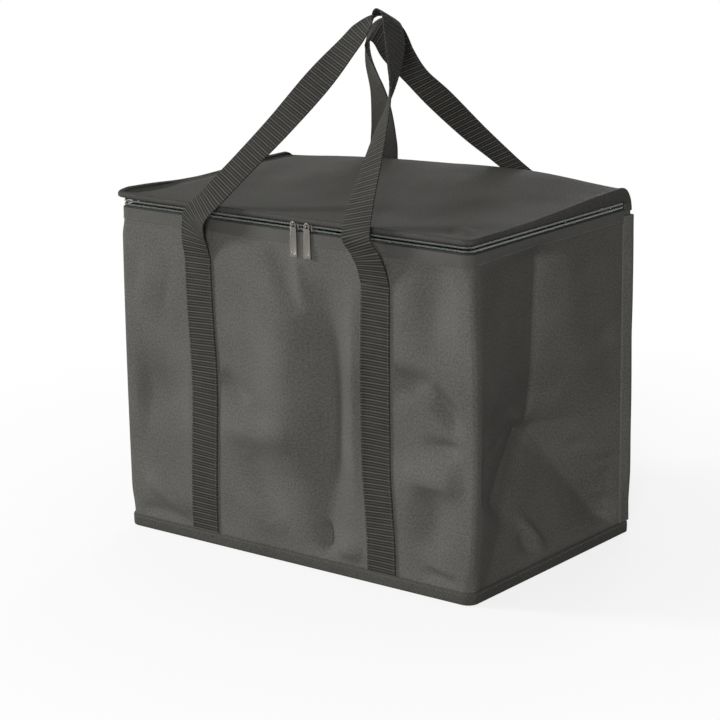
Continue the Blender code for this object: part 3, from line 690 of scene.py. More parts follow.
def lidAndBack():
    crown = 2 * bag["halfDepth"] - bag["lidRoll"]
    roll = bag["lidRoll"] * math.pi / 2
    back = bag["hinge"] - bag["wallFoot"]
    rows = lidSheet["crownRows"] + lidSheet["rollRows"] + lidSheet["backRows"]
    ends = (lidSheet["crownRows"] / rows, (lidSheet["crownRows"] + lidSheet["rollRows"]) / rows)

    def place(u, v):
        x = bag["halfWidth"] * (2 * u - 1)
        if v <= ends[0]:
            y = -bag["halfDepth"] + crown * v / ends[0]
            reach = bag["halfWidth"]
            fromFront = y + bag["halfDepth"]
            if fromFront < bag["corner"]:
                # follows the rounded front corners
                reach -= bag["corner"] - math.sqrt(bag["corner"] ** 2 - (bag["corner"] - fromFront) ** 2)
            return lidPoint(reach * (2 * u - 1), y)
        if v <= ends[1]:
            turn = math.radians(90) * (v - ends[0]) / (ends[1] - ends[0])
            y = bag["halfDepth"] - bag["lidRoll"] + bag["lidRoll"] * math.sin(turn)
            top = lidHeight(x, bag["halfDepth"] - bag["lidRoll"])
            return Vector((x, y, top - (top - bag["hinge"]) * (1 - math.cos(turn))))
        share = (v - ends[1]) / (1 - ends[1])
        z = bag["hinge"] - back * share
        fade = ramp(share, 0.0, 0.06) * ramp(1 - share, 0.0, 0.05)
        fade *= ramp(bag["halfWidth"] - abs(x), 0.008, 0.03)
        swell = 0.0009 * noise.noise(Vector((x * 15, z * 12, 40)))
        swell += 0.0014 * noise.noise(Vector((x * 7, z * 6, 47)))
        return Vector((x, bag["halfDepth"] + swell * fade, z))

    size = (2 * bag["halfWidth"], crown + roll + back)
    cloth = clothGrid("lid_and_back_cloth", lidSheet["columns"], rows, size, place)
    thicken(cloth, lidSheet["thickness"])
    smoothShade(cloth, 60)
    # the darker lid and back fabric carries painted shade for the upward-facing lid
    cloth.data.materials.clear()
    cloth.data.materials.append(finishes["back"])
    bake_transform(cloth)
    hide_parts("lid_panel", "back_panel")
    return cloth


lidAndBack()
print("lid and back made")

# Each strap is one length of webbing, sewn up the face and free in its loop.
webbing = {"width": 0.034, "thickness": 0.0013, "pitch": 0.00282, "rib": 0.00034, "perRib": 8, "across": 12}
handleStations = {
    "front": (
        ((-1.00, 1.008, -1.000), (1.00, 0.00, 0.00)), ((-1.00, 1.036, -0.740), (1.00, -0.05, 0.00)),
        ((-0.98, 1.070, -0.420), (0.98, -0.20, -0.05)), ((-0.88, 1.108, -0.090), (0.95, -0.28, -0.10)),
        ((-0.74, 1.035, 0.083), (0.98, -0.16, -0.12)), ((-0.55, 0.850, 0.259), (0.98, -0.15, -0.15)),
        ((-0.37, 0.665, 0.433), (0.94, -0.18, -0.30)), ((-0.17, 0.450, 0.646), (0.92, -0.12, -0.36)),
        ((0.00, 0.270, 0.830), (0.95, -0.24, -0.05)), ((0.09, 0.195, 0.920), (0.93, -0.34, 0.08)),
        ((0.17, 0.142, 0.978), (0.74, -0.62, 0.14)), ((0.26, 0.118, 1.000), (0.22, -0.90, 0.36)),
        ((0.35, 0.130, 0.975), (0.05, -0.93, 0.36)), ((0.42, 0.178, 0.914), (0.02, -0.95, 0.30)),
        ((0.48, 0.240, 0.852), (0.10, -0.96, 0.24)), ((0.57, 0.360, 0.729), (0.33, -0.92, 0.20)),
        ((0.64, 0.480, 0.601), (0.60, -0.78, 0.20)), ((0.70, 0.640, 0.459), (0.78, -0.62, 0.05)),
        ((0.76, 0.820, 0.285), (0.90, -0.42, 0.05)), ((0.82, 1.000, 0.111), (0.97, -0.22, 0.04)),
        ((0.88, 1.121, -0.088), (1.00, -0.05, 0.00)), ((0.94, 1.090, -0.423), (1.00, 0.00, 0.00)),
        ((0.98, 1.040, -0.739), (1.00, 0.00, 0.00)), ((1.00, 1.008, -1.000), (1.00, 0.00, 0.00)),
    ),
    "back": (
        ((-1.00, 1.008, -1.000), (1.00, 0.00, 0.00)), ((-0.99, 1.040, -0.739), (1.00, 0.00, 0.00)),
        ((-0.96, 1.090, -0.423), (1.00, 0.00, 0.00)), ((-0.91, 1.121, -0.088), (1.00, -0.04, 0.00)),
        ((-0.80, 1.000, 0.085), (0.98, -0.15, 0.05)), ((-0.64, 0.830, 0.223), (0.94, -0.30, 0.10)),
        ((-0.44, 0.580, 0.446), (0.85, -0.50, 0.15)), ((-0.34, 0.380, 0.639), (0.76, -0.62, 0.10)),
        ((-0.25, 0.245, 0.775), (0.62, -0.74, -0.10)), ((-0.16, 0.170, 0.855), (0.36, -0.80, -0.38)),
        ((-0.05, 0.140, 0.888), (0.00, -0.80, -0.58)), ((0.03, 0.185, 0.845), (-0.50, -0.66, -0.50)),
        ((0.06, 0.265, 0.745), (-0.84, -0.20, -0.44)), ((0.13, 0.385, 0.625), (-0.92, 0.10, -0.38)),
        ((0.26, 0.540, 0.485), (-0.82, 0.12, -0.56)), ((0.44, 0.760, 0.291), (-0.85, 0.20, -0.48)),
        ((0.62, 0.950, 0.130), (-0.97, 0.14, -0.18)), ((0.80, 1.118, -0.088), (-1.00, 0.02, 0.00)),
        ((0.92, 1.080, -0.423), (-1.00, 0.00, 0.00)), ((0.98, 1.034, -0.740), (-1.00, 0.00, 0.00)),
        ((1.00, 1.008, -1.000), (-1.00, 0.00, 0.00)),
    ),
}
handleRise = 0.1863
handleFoot = bag["lidEdge"] - strapPlaces["top"] - 0.0003
strapMiddle = bag["halfDepth"] + 0.0011


def loopPath(stations, facing):
    # fine points of the loop's middle and its width directions
    middles, widths = [], []
    for (x, y, z), width in stations:
        height = bag["lidEdge"] + z * (handleRise if z > 0 else handleFoot)
        middles.append(Vector((x * strapPlaces["x"], facing * y * bag["halfDepth"], height)))
        widths.append(Vector(width).normalized())
    middles[0].y = middles[-1].y = facing * strapMiddle
    count = (len(stations) - 1) * 24
    points = [smoothPoint(middles, step / 24) for step in range(count + 1)]
    across = [smoothPoint(widths, step / 24) for step in range(count + 1)]
    return points, across


def sewnPath(side, facing, wander, across):
    # from the bag's foot up to the loop
    points, count = [], 40
    for step in range(count):
        z = strapPlaces["foot"] + (strapPlaces["top"] - strapPlaces["foot"]) * step / count
        x = side * strapPlaces["x"] + wander(z)
        points.append(Vector((x, facing * strapMiddle, z)))
    return points, [Vector((across, 0.0, 0.0))] * count


def evenly(points, directions, pitch):
    # the path again with points a fixed pitch apart
    lengths = [0.0]
    for before, after in zip(points, points[1:]):
        lengths.append(lengths[-1] + (after - before).length)
    count = int(lengths[-1] / pitch)
    result, at = [], 0
    for step in range(count + 1):
        want = lengths[-1] * step / count
        while at < len(lengths) - 2 and lengths[at + 1] < want:
            at += 1
        share = (want - lengths[at]) / max(lengths[at + 1] - lengths[at], 1e-9)
        point = points[at].lerp(points[at + 1], share)
        direction = directions[at].lerp(directions[at + 1], share)
        result.append((point, direction, want))
    return result


def makeStrap(name, stations, facing, wanders, nodes):
    loop, loopAcross = loopPath(stations, facing)
    leftEnd, rightEnd = loopAcross[0].x, loopAcross[-1].x
    left, leftAcross = sewnPath(-1, facing, wanders[0], leftEnd)
    right, rightAcross = sewnPath(1, facing, wanders[1], rightEnd)
    # the loop's feet start where the sewn lengths end
    for step in range(48):
        share = 1 - ramp(step, 0, 48)
        loop[step].x += wanders[0](strapPlaces["top"]) * share
        loop[-1 - step].x += wanders[1](strapPlaces["top"]) * share
    points = left + loop + right[::-1]
    across = leftAcross + loopAcross + rightAcross[::-1]
    rows = evenly(points, across, webbing["pitch"] / webbing["perRib"])
    half, rib = webbing["width"] / 2, webbing["rib"]
    sections, ribs = [], []
    for index, (point, direction, along) in enumerate(rows):
        ahead = rows[min(index + 2, len(rows) - 1)][0] - rows[max(index - 2, 0)][0]
        ahead.normalize()
        width = (direction - ahead * direction.dot(ahead)).normalized()
        sections.append((point, width, along))
    total = sections[-1][2]

    def place(u, v):
        point, width, along = sections[min(int(round(v * (len(sections) - 1))), len(sections) - 1)]
        offset = 2 * u - 1
        spot = point + width * (half * offset)
        turn = 2 * math.pi * along / webbing["pitch"]
        wave = math.sin(turn) * (0.75 + 0.25 * math.sin(turn / 2 + math.pi / 4))
        ribs.append(rib * wave * (1 - 0.8 * abs(offset) ** 8))
        if facing < 0 and spot.z < strapPlaces["top"]:
            # the sewn length lies on the face's folds
            fade = 1 - ramp(spot.z, 0.285, strapPlaces["top"])
            spot.y += (frontY(spot.x, spot.z) + bag["halfDepth"]) * fade
        return spot

    strap = clothGrid(name, webbing["across"], len(sections) - 1, (webbing["width"], total), place)
    thicken(strap, webbing["thickness"], 0.0)
    # the ribs stand out of both faces
    outward = [vertex.normal.copy() for vertex in strap.data.vertices]
    for vertex, out in zip(strap.data.vertices, outward):
        vertex.co += out * ribs[vertex.index % len(ribs)]
    smoothShade(strap, 60)
    strap.data.materials.clear()
    strap.data.materials.append(finishes["webbing"])
    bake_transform(strap)
    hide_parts(*nodes)
    return strap


makeStrap("front_webbing", handleStations["front"], -1, (frontLeftWander, frontRightWander),
          ["front_handle", "front_left_strap", "front_right_strap"])
makeStrap("back_webbing", handleStations["back"], 1, (lambda z: 0.0, lambda z: 0.0),
          ["back_handle", "back_left_strap", "back_right_strap"])
print("webbing made")

zipper = {"tooth": 0.00105, "pitch": 0.0014, "toothHeight": 0.0024, "toothDepth": 0.0018,
          "bodyCoil": 0.3454, "lidCoil": 0.3492, "inset": 0.0015}


def zipPlaces(inset, pitch):
    # even places along the zip, from the back left round the front to the back right
    places, end = [], bag["halfDepth"] - 0.1265 - 0.001
    count = int((wallRun - 2 * end) / pitch)
    for step in range(count + 1):
        (x, y), out = planPlace(end + (wallRun - 2 * end) * step / count)
        places.append((Vector((x - out[0] * inset, y - out[1] * inset, 0)), Vector((out[0], out[1], 0))))
    return places


def makeCoil(name, height, body, node, lean):
    # one nylon loop, copied along the zip
    deselect()
    bpy.ops.mesh.primitive_uv_sphere_add(segments=8, ring_count=6, radius=0.5)
    tooth = bpy.context.object
    tooth.scale = (zipper["tooth"], zipper["toothDepth"], zipper["toothHeight"])
    tooth.rotation_euler = (0, lean, 0)
    settle(tooth)
    matrices = []
    for point, out in zipPlaces(zipper["inset"], zipper["pitch"]):
        ahead = Vector((-out.y, out.x, 0))
        turn = Matrix((ahead, -out, (0, 0, 1))).transposed().to_4x4()
        matrices.append(Matrix.Translation(point + Vector((0, 0, height))) @ turn)
    coil = repeatAt(name, tooth, matrices)
    smoothShade(coil, 70)
    return finishPiece(coil, body, finishes["coil"], [node])


makeCoil("body_coil_teeth", zipper["bodyCoil"], "bag", "body_zip_coil", 0.22)
makeCoil("lid_coil_teeth", zipper["lidCoil"], "lid", "lid_zip_coil", -0.22)


def makeBand(name, low, high, inset, thickness, rows, columns, material, body, node, swell=True):
    # a band of tape that runs along the left side, the front and the right side
    end = bag["halfDepth"] - 0.1265 - 0.001

    def place(u, v):
        run = end + (wallRun - 2 * end) * u
        z = low + (high - low) * v
        if swell:
            return wallPoint(run, z, inset)
        (x, y), out = planPlace(run)
        return Vector((x - out[0] * inset, y - out[1] * inset, z))

    band = clothGrid(name, columns, rows, (wallRun - 2 * end, high - low), place)
    return finishCloth(band, thickness, 60, body, material, [node] if node else ())


makeBand("body_tape_weave", 0.3339, 0.3439, 0.0012, 0.0006, 6, 300, finishes["tape"], "bag",
         "body_zip_tape")
makeBand("lid_tape_weave", 0.3507, 0.3549, 0.0012, 0.0006, 4, 300, finishes["tape"], "lid",
         "lid_zip_tape", False)
makeBand("hem_tape", 0.3302, 0.3426, -0.0007, 0.0006, 6, 320, finishes["hem"], "bag", None)
print("zip made")

layers = {"padInset": 0.0014, "pad": 0.0026, "padTop": 0.3335, "padFoot": 0.0052,
          "liner": 0.0046, "linerFoot": 0.0047, "linerTop": 0.3410, "film": 0.0004}


def wallPad(name, start, end, columns):
    low, high = layers["padFoot"], layers["padTop"]
    pad = clothGrid(name, columns, 64, (abs(end - start), high - low),
                    lambda u, v: wallPoint(start + (end - start) * u, low + (high - low) * v, layers["padInset"]))
    finishCloth(pad, layers["pad"], 60, "bag", finishes["foam"], [name.replace("_foam", "_pad")])


def flatPad(name, node, body, place, size, columns, rows, thickness):
    pad = clothGrid(name, columns, rows, size, place)
    finishCloth(pad, thickness, 60, body, finishes["foam"], [node])


def makePads():
    wallPad("left_foam", 0.0050, sideRun - 0.0005, 70)
    wallPad("front_foam", sideRun + cornerRun + 0.0005, wallRun - sideRun - cornerRun - 0.0005, 110)
    wallPad("right_foam", wallRun - sideRun + 0.0005, wallRun - 0.0050, 70)
    low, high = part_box("back_pad")
    size = (high[0] - low[0], high[2] - low[2])
    flatPad("back_foam", "back_pad", "bag",
            lambda u, v: Vector((high[0] - size[0] * u, high[1] - 0.0009, low[2] + size[1] * v)),
            size, 60, 48, 0.0022)
    low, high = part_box("base_pad")
    floor = (high[0] - low[0], high[1] - low[1])
    flatPad("base_foam", "base_pad", "bag",
            lambda u, v: Vector((low[0] + floor[0] * u, low[1] + floor[1] * v, high[2])),
            floor, 40, 26, high[2] - low[2])
    low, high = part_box("lid_pad")
    cut = (high[0] - low[0], high[1] - low[1])
    flatPad("lid_foam", "lid_pad", "lid",
            lambda u, v: lidPoint(low[0] + cut[0] * u, low[1] + cut[1] * v) - Vector((0, 0, 0.0018)),
            cut, 90, 60, 0.0028)


def creased(x, y, z, height):
    # the film's sharp little creases, only ever out of the wall
    spot = Vector((x, y, z))
    first = 1 - abs(noise.noise(spot * 16)) * 2.4
    second = 1 - abs(noise.noise(spot * 38 + Vector((7, 3, 1)))) * 2.4
    return height * max(0.0, 0.65 * max(first, 0) ** 2 + 0.35 * max(second, 0) ** 2)


def makeLiner():
    inset, foot, top = layers["liner"], layers["linerFoot"], layers["linerTop"]
    w, d = bag["halfWidth"] - inset, bag["halfDepth"] - inset
    r = 0.006
    sides = (2 * d - 2 * r, 2 * w - 2 * r)
    arc = r * math.pi / 2
    total = 2 * sum(sides) + 4 * arc
    wall = 0.965

    def outline(run):
        # from the back left corner: left side, front, right side, back, each with its corner after it
        corners = (((-w, d - r), (0, -1), (-1, 0)), ((-w + r, -d), (1, 0), (0, -1)),
                   ((w, -d + r), (0, 1), (1, 0)), ((w - r, d), (-1, 0), (0, 1)))
        for index, (start, ahead, out) in enumerate(corners):
            length = sides[index % 2]
            if run <= length:
                return (start[0] + ahead[0] * run, start[1] + ahead[1] * run), out
            run -= length
            if run <= arc or index == 3:
                turn = min(run, arc) / r
                c, s = math.cos(turn), math.sin(turn)
                heading = (out[0] * c + ahead[0] * s, out[1] * c + ahead[1] * s)
                end = (start[0] + ahead[0] * length - out[0] * r, start[1] + ahead[1] * length - out[1] * r)
                return (end[0] + heading[0] * r, end[1] + heading[1] * r), heading
            run -= arc

    def place(u, v):
        (x, y), out = outline(total * (u % 1.0))
        z = foot + (top - foot) * min(v / wall, 1.0)
        turned = max(0.0, (v - wall) / (1 - wall))
        depth = turned * (inset - 0.0022)
        if abs(out[0]) > 0.99:
            face = "left" if out[0] < 0 else "right"
            depth += wallSwell(face, y + bag["halfDepth"], z) - sideDepth(y + bag["halfDepth"], z)
        elif out[1] < -0.99:
            depth += frontY(x, z) * -1 - bag["halfDepth"]
        calm = ramp(v, 0, 0.03) * ramp(wall - v, 0, 0.05)
        depth -= creased(x, y, z, 0.0016) * calm
        return Vector((x + out[0] * depth, y + out[1] * depth, z))

    liner = clothGrid("silver_liner", 300, 96, (total, top - foot), place)
    editAll(liner, mergeDoubles, lambda: bpy.ops.mesh.select_all(action="DESELECT"))
    for edge in liner.data.edges:
        low = all(liner.data.vertices[index].co.z < foot + 0.0001 for index in edge.vertices)
        edge.select = low
    for vertex in liner.data.vertices:
        vertex.select = vertex.co.z < foot + 0.0001
    bpy.ops.object.mode_set(mode="EDIT")
    bpy.ops.mesh.edge_face_add()
    bpy.ops.object.mode_set(mode="OBJECT")
    finishCloth(liner, layers["film"], 50, "bag", finishes["foil"], ["liner"])


def makeLidLiner():
    low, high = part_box("lid_liner")
    cut = (high[0] - low[0], high[1] - low[1])

    def place(u, v):
        x, y = low[0] + cut[0] * u, low[1] + cut[1] * v
        spot = lidPoint(x, y)
        calm = ramp(u, 0, 0.03) * ramp(1 - u, 0, 0.03) * ramp(v, 0, 0.04) * ramp(1 - v, 0, 0.04)
        spot.z -= 0.0051 + creased(x, y, 2.0, 0.0016) * calm
        return spot

    liner = clothGrid("silver_lid_liner", 150, 96, cut, place)
    finishCloth(liner, layers["film"], 50, "lid", finishes["foil"], ["lid_liner"])


def makeBoard():
    low, high = (Vector(corner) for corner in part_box("base_board"))
    deselect()
    bpy.ops.mesh.primitive_cube_add(size=1, location=(low + high) / 2)
    board = bpy.context.object
    board.name = "pressed_board"
    board.scale = high - low
    settle(board)
    bevelEdges(board, lambda a, b: abs(a.z - b.z) > 0.001, 0.008, 6)
    applyModifier(board, "BEVEL", width=0.0004, segments=2, limit_method="ANGLE")
    smoothShade(board, 30)
    finishPiece(board, "bag", finishes["board"], ["base_board"])


def makeBase():
    w, d, r = bag["halfWidth"] - 0.0011, bag["halfDepth"] - 0.0012, bag["corner"]

    def place(u, v):
        y = -d + 2 * d * v
        reach = w
        near = y + d
        if near < r:
            reach -= r - math.sqrt(r * r - (r - near) ** 2)
        return Vector((reach * (2 * u - 1), y, 0.0009))

    base = clothGrid("base_cloth", 88, 56, (2 * w, 2 * d), place)
    thicken(base, 0.0008)
    finishPiece(base, "bag", finishes["base"], ["base_panel"])


makePads()
makeLiner()
makeLidLiner()
makeBoard()
makeBase()
print("inside made")

binding = {"thickness": 0.0010, "backCorner": 0.003, "stitch": 0.0024, "stitchPitch": 0.0037,
           "threadRadius": 0.00028}


def outlinePlace(run):
    # the base's whole outline: the wall's run, then the back
    if run <= wallRun:
        return planPlace(run)
    run -= wallRun
    w, d, r = bag["halfWidth"], bag["halfDepth"], binding["backCorner"]
    arc = r * math.pi / 2
    straight = 2 * (w - r)
    if run <= arc:
        turn = run / r
        out = (math.cos(turn), math.sin(turn))
        return (w - r + r * out[0], d - r + r * out[1]), out
    run -= arc
    if run <= straight:
        return (w - r - run, d), (0.0, 1.0)
    turn = (run - straight) / r
    out = (-math.sin(turn), math.cos(turn))
    return (r - w + r * out[0], d - r + r * out[1]), out


def follow(profile, share):
    # a point of a profile drawn through its own points
    return smoothPoint([Vector(point) for point in profile], share * (len(profile) - 1))


def baseBinding():
    arc = binding["backCorner"] * math.pi / 2
    # the side runs stop a radius short of the back corner
    total = wallRun + 2 * arc + 2 * (bag["halfWidth"] - binding["backCorner"])
    profile = ((-0.0006, 0.0126), (0.0010, 0.0131), (0.0017, 0.0112), (0.0019, 0.0070),
               (0.0018, 0.0030), (0.0013, 0.0007), (-0.0002, 0.0001))

    def place(u, v):
        run = total * (u % 1.0)
        (x, y), out = outlinePlace(run)
        reach, z = follow(profile, v)
        reach += 0.00035 * noise.noise(Vector((x * 30, y * 30, z * 60))) * ramp(z, 0.001, 0.004)
        return Vector((x + out[0] * reach, y + out[1] * reach, max(z, 0.0001)))

    strip = clothGrid("base_binding_tape", 420, 12, (total, 0.0165), place)
    editAll(strip, mergeDoubles, turnOutwards)
    finishCloth(strip, binding["thickness"], 60, "bag", finishes["binding"], ["base_binding"])
    return total


def backBinding(side, name, node):
    low, high = 0.0134, 0.3368
    profile = ((0.2197, 0.1255), (0.2209, 0.1266), (0.2219, 0.1295), (0.2233, 0.1340), (0.2243, 0.1384),
               (0.2232, 0.1415), (0.2185, 0.1424), (0.2135, 0.1421), (0.2106, 0.1416), (0.2098, 0.1403))

    def place(u, v):
        x, y = follow(profile, u)
        z = low + (high - low) * v
        # the flare dies out towards the foot
        x -= 0.0022 * (1 - ramp(z, low, 0.07)) * ramp(x, 0.2212, 0.2243)
        wave = 0.0005 * noise.noise(Vector((side * 3, y * 40, z * 26)))
        wave *= ramp(u, 0, 0.15) * ramp(1 - u, 0, 0.15)
        return Vector((side * (x + wave), y + wave * 0.5, z))

    strip = clothGrid(name, 22, 96, (0.0275, high - low), place)
    if side > 0:
        editAll(strip, turnOutwards)
    outward = sum((polygon.normal.x * side for polygon in strip.data.polygons[:2000]))
    if outward < 0:
        strip.data.flip_normals()
    # the lighter back binding fabric is a painted highlight
    finishCloth(strip, binding["thickness"], 60, "bag", finishes["flange"], [node])


rimProfile = ((0.0050, 0.0006), (0.0020, 0.0011), (-0.0006, 0.0010), (-0.0017, -0.0008),
              (-0.0016, -0.0030), (-0.0004, -0.0043), (0.0010, -0.0043))


def lidRim():
    start = bag["halfDepth"] - 0.001 - (bag["halfDepth"] - bag["lidRoll"])
    turned = bag["lidRoll"] * math.pi / 2
    flatRun = wallRun - 2 * start
    total = flatRun + 2 * turned
    drop = bag["lidEdge"] - bag["hinge"] - 0.0012

    def frameAt(run):
        if run < turned or run > turned + flatRun:
            side = -1 if run < turned else 1
            turn = (turned - run if side < 0 else run - turned - flatRun) / bag["lidRoll"]
            y = bag["halfDepth"] - bag["lidRoll"] + bag["lidRoll"] * math.sin(turn)
            z = bag["lidEdge"] - drop * (1 - math.cos(turn))
            up = Vector((0, math.sin(turn), math.cos(turn)))
            return Vector((side * bag["halfWidth"], y, z)), Vector((side, 0, 0)), up, math.cos(turn)
        (x, y), out = planPlace(start + run - turned)
        return Vector((x, y, bag["lidEdge"])), Vector((out[0], out[1], 0)), Vector((0, 0, 1)), 1.0

    def place(u, v):
        spot, out, up, share = frameAt(total * u)
        reach, rise = follow(rimProfile, v)
        # the upper edge keeps to the lid, the lower one to the zip
        lift = (lidHeight(spot.x, spot.y) - bag["lidEdge"]) * share
        if spot.x < -bag["halfWidth"] + 0.002:
            lift += flangeLift(spot.y + bag["halfDepth"]) * share
        wave = 0.0006 * noise.noise(Vector((spot.x * 24, spot.y * 24, 9.0)))
        high = ramp(1 - v, 0.1, 0.75)
        spot += out * (-reach + wave * v) + up * (rise + wave * high) + lidTip(spot.x, spot.y)
        return spot + Vector((0, 0, lift * high))

    strip = clothGrid("lid_rim_tape", 400, 16, (total, 0.012), place)
    outward = sum(polygon.normal.x * polygon.center.x + polygon.normal.y * polygon.center.y
                  for polygon in strip.data.polygons)
    if outward < 0:
        strip.data.flip_normals()
    finishCloth(strip, 0.0008, 60, "lid", finishes["binding"], ["lid_rim"])


def stitches(name, body, places):
    # places: (point, direction along the seam, direction out of the cloth)
    deselect()
    bpy.ops.mesh.primitive_cylinder_add(vertices=6, radius=binding["threadRadius"], depth=binding["stitch"],
                                        rotation=(0, math.pi / 2, 0))
    dash = bpy.context.object
    settle(dash)
    applyModifier(dash, "BEVEL", width=0.00012, segments=1, limit_method="ANGLE")
    matrices = []
    for point, ahead, out in places:
        ahead = (ahead - out * ahead.dot(out)).normalized()
        turn = Matrix((ahead, out.cross(ahead), out)).transposed().to_4x4()
        matrices.append(Matrix.Translation(point) @ turn)
    row = repeatAt(name, dash, matrices)
    smoothShade(row, 50)
    return finishPiece(row, body, finishes["thread"])


def seamPlaces(length, point, pitch=None):
    # even places along a seam that point(distance) describes, with directions found from it
    pitch = pitch or binding["stitchPitch"]
    count = int(length / pitch)
    places = []
    for step in range(count):
        at = (step + 0.5) * length / count
        spot, out = point(at)
        ahead = point(min(at + 0.0008, length))[0] - point(max(at - 0.0008, 0))[0]
        places.append((spot, ahead, out))
    return places


baseRun = baseBinding()
backBinding(-1, "back_left_tape", "back_left_binding")
backBinding(1, "back_right_tape", "back_right_binding")
lidRim()


def baseSeam(at):
    (x, y), out = outlinePlace(at)
    reach = 0.0018
    return Vector((x + out[0] * reach, y + out[1] * reach, 0.0106)), Vector((out[0], out[1], 0))


def hemSeam(z):
    def point(at):
        run = 0.016 + at
        spot = wallPoint(run, z, -0.00085)
        out = planPlace(run)[1]
        return spot, Vector((out[0], out[1], 0))
    return point


stitches("base_stitches", "bag", seamPlaces(baseRun, baseSeam))
stitches("hem_stitches", "bag", seamPlaces(wallRun - 0.032, hemSeam(0.3322)))
for side, name in ((-1, "back_left_stitches"), (1, "back_right_stitches")):
    stitches(name, "bag", seamPlaces(0.320, lambda at, side=side: (
        Vector((side * 0.2220, 0.1300, 0.0150 + at)), Vector((side, 0, 0)))))


def flangeSeam(at):
    y = -0.128 + at
    x = -bag["halfWidth"] + 0.0066 + 0.0007 * math.sin(at * 90) + 0.0005 * math.sin(at * 41)
    return lidPoint(x, y) + Vector((0, 0, 0.0002)), Vector((0, 0, 1))


stitches("lid_left_stitches", "lid", seamPlaces(0.235, flangeSeam))
for side, facing, wander, name in ((-1, -1, frontLeftWander, "front_left"), (1, -1, frontRightWander, "front_right"),
                                   (-1, 1, None, "back_left"), (1, 1, None, "back_right")):
    dashes = []
    for edge in (-1, 1):
        def strapSeam(at, side=side, facing=facing, wander=wander, edge=edge):
            z = 0.016 + at
            x = side * strapPlaces["x"] + (wander(z) if wander else 0) + edge * 0.0155
            y = facing * (strapMiddle + 0.0009)
            if facing < 0:
                y += (frontY(x, z) + bag["halfDepth"]) * (1 - ramp(z, 0.285, strapPlaces["top"]))
            return Vector((x, y, z)), Vector((0, facing, 0))
        dashes += seamPlaces(0.280, strapSeam)
    stitches(name + "_strap_stitches", "bag", dashes)
print("bindings and stitches made")

slider = {"x": (0.0115, 0.0285), "z": 0.3473, "length": 0.011, "height": 0.0086, "eyeZ": 0.3492,
          "frontY": -0.1399, "backY": -0.1368, "plate": 0.0008, "bail": 0.0017, "wire": 0.0006}


def sliderPlate(x, y):
    # one face of the slider: a rounded plate, narrower at the end that leads
    deselect()
    bpy.ops.mesh.primitive_cube_add(size=1, location=(x, y, slider["z"]))
    plate = bpy.context.object
    plate.scale = (slider["length"], slider["plate"], slider["height"])
    settle(plate)
    bevelEdges(plate, lambda a, b: abs(a.y - b.y) > slider["plate"] / 2, 0.0026, 5)
    applyModifier(plate, "BEVEL", width=0.00022, segments=2, limit_method="ANGLE")
    return plate


def sliderBody(x, name, body, node):
    parts = [sliderPlate(x, slider["frontY"]), sliderPlate(x, slider["backY"])]
    deselect()
    bpy.ops.mesh.primitive_cube_add(size=1, location=(x, (slider["frontY"] + slider["backY"]) / 2, slider["z"]))
    web = bpy.context.object
    web.scale = (0.0034, slider["backY"] - slider["frontY"], 0.0008)
    settle(web)
    parts.append(web)
    deselect()
    bpy.ops.mesh.primitive_torus_add(major_radius=slider["bail"], minor_radius=slider["wire"], major_segments=24,
                                     minor_segments=8, location=(x, -0.1412, slider["eyeZ"]),
                                     rotation=(0, math.pi / 2, 0))
    bail = bpy.context.object
    bail.scale = (1.0, 1.35, 1.0)
    settle(bail)
    parts.append(bail)
    piece = joinAll(name, parts)
    smoothShade(piece, 35)
    finishPiece(piece, body, finishes["nickel"], [node])


def pullTab(x, name, body, node):
    # a round eye that runs down into a flat tab with a raised border
    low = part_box(node)[0]
    thick = 0.0010
    deselect()
    bpy.ops.mesh.primitive_cylinder_add(vertices=40, radius=0.0036, depth=thick,
                                        location=(x, -0.1420, slider["eyeZ"]), rotation=(math.pi / 2, 0, 0))
    eye = bpy.context.object
    settle(eye)
    deselect()
    bpy.ops.mesh.primitive_cube_add(size=1, location=(x, -0.1420, (low[2] + slider["eyeZ"] - 0.0025) / 2))
    tab = bpy.context.object
    tab.scale = (0.0072, thick * 0.98, slider["eyeZ"] - 0.0025 - low[2])
    settle(tab)
    for vertex in tab.data.vertices:
        if vertex.co.z < slider["eyeZ"] - 0.01:
            vertex.co.x = x + (vertex.co.x - x) * 1.25
    applyModifier(eye, "BOOLEAN", operation="UNION", object=tab, solver="EXACT")
    bpy.data.objects.remove(tab)
    deselect()
    bpy.ops.mesh.primitive_cylinder_add(vertices=32, radius=0.0025, depth=thick * 3,
                                        location=(x, -0.1420, slider["eyeZ"]), rotation=(math.pi / 2, 0, 0))
    drill = bpy.context.object
    settle(drill)
    applyModifier(eye, "BOOLEAN", operation="DIFFERENCE", object=drill, solver="EXACT")
    bpy.data.objects.remove(drill)
    # a shallow panel sunk into the tab's face
    deselect()
    bpy.ops.mesh.primitive_cube_add(size=1, location=(x, -0.1420 - thick / 2, low[2] + 0.0118))
    panel = bpy.context.object
    panel.scale = (0.0052, 0.0006, 0.0170)
    settle(panel)
    applyModifier(panel, "BEVEL", width=0.0008, segments=3, limit_method="ANGLE")
    applyModifier(eye, "BOOLEAN", operation="DIFFERENCE", object=panel, solver="EXACT")
    bpy.data.objects.remove(panel)
    applyModifier(eye, "BEVEL", width=0.00018, segments=2, limit_method="ANGLE", angle_limit=math.radians(40))
    eye.name = name
    smoothShade(eye, 35)
    finishPiece(eye, body, finishes["nickel"], [node])


for x, side in zip(slider["x"], ("left", "right")):
    sliderBody(x, side + "_slider_metal", side + "_slider", side + "_slider")
    pullTab(x, side + "_pull_metal", side + "_pull", side + "_pull")
print("sliders and pulls made")

lens = {"focal": 122.418, "sensor": 36.0, "place": (1.49563, -1.943538, 0.812707),
        "elevation": 0.2516, "azimuth": 0.662064, "roll": -0.013971}


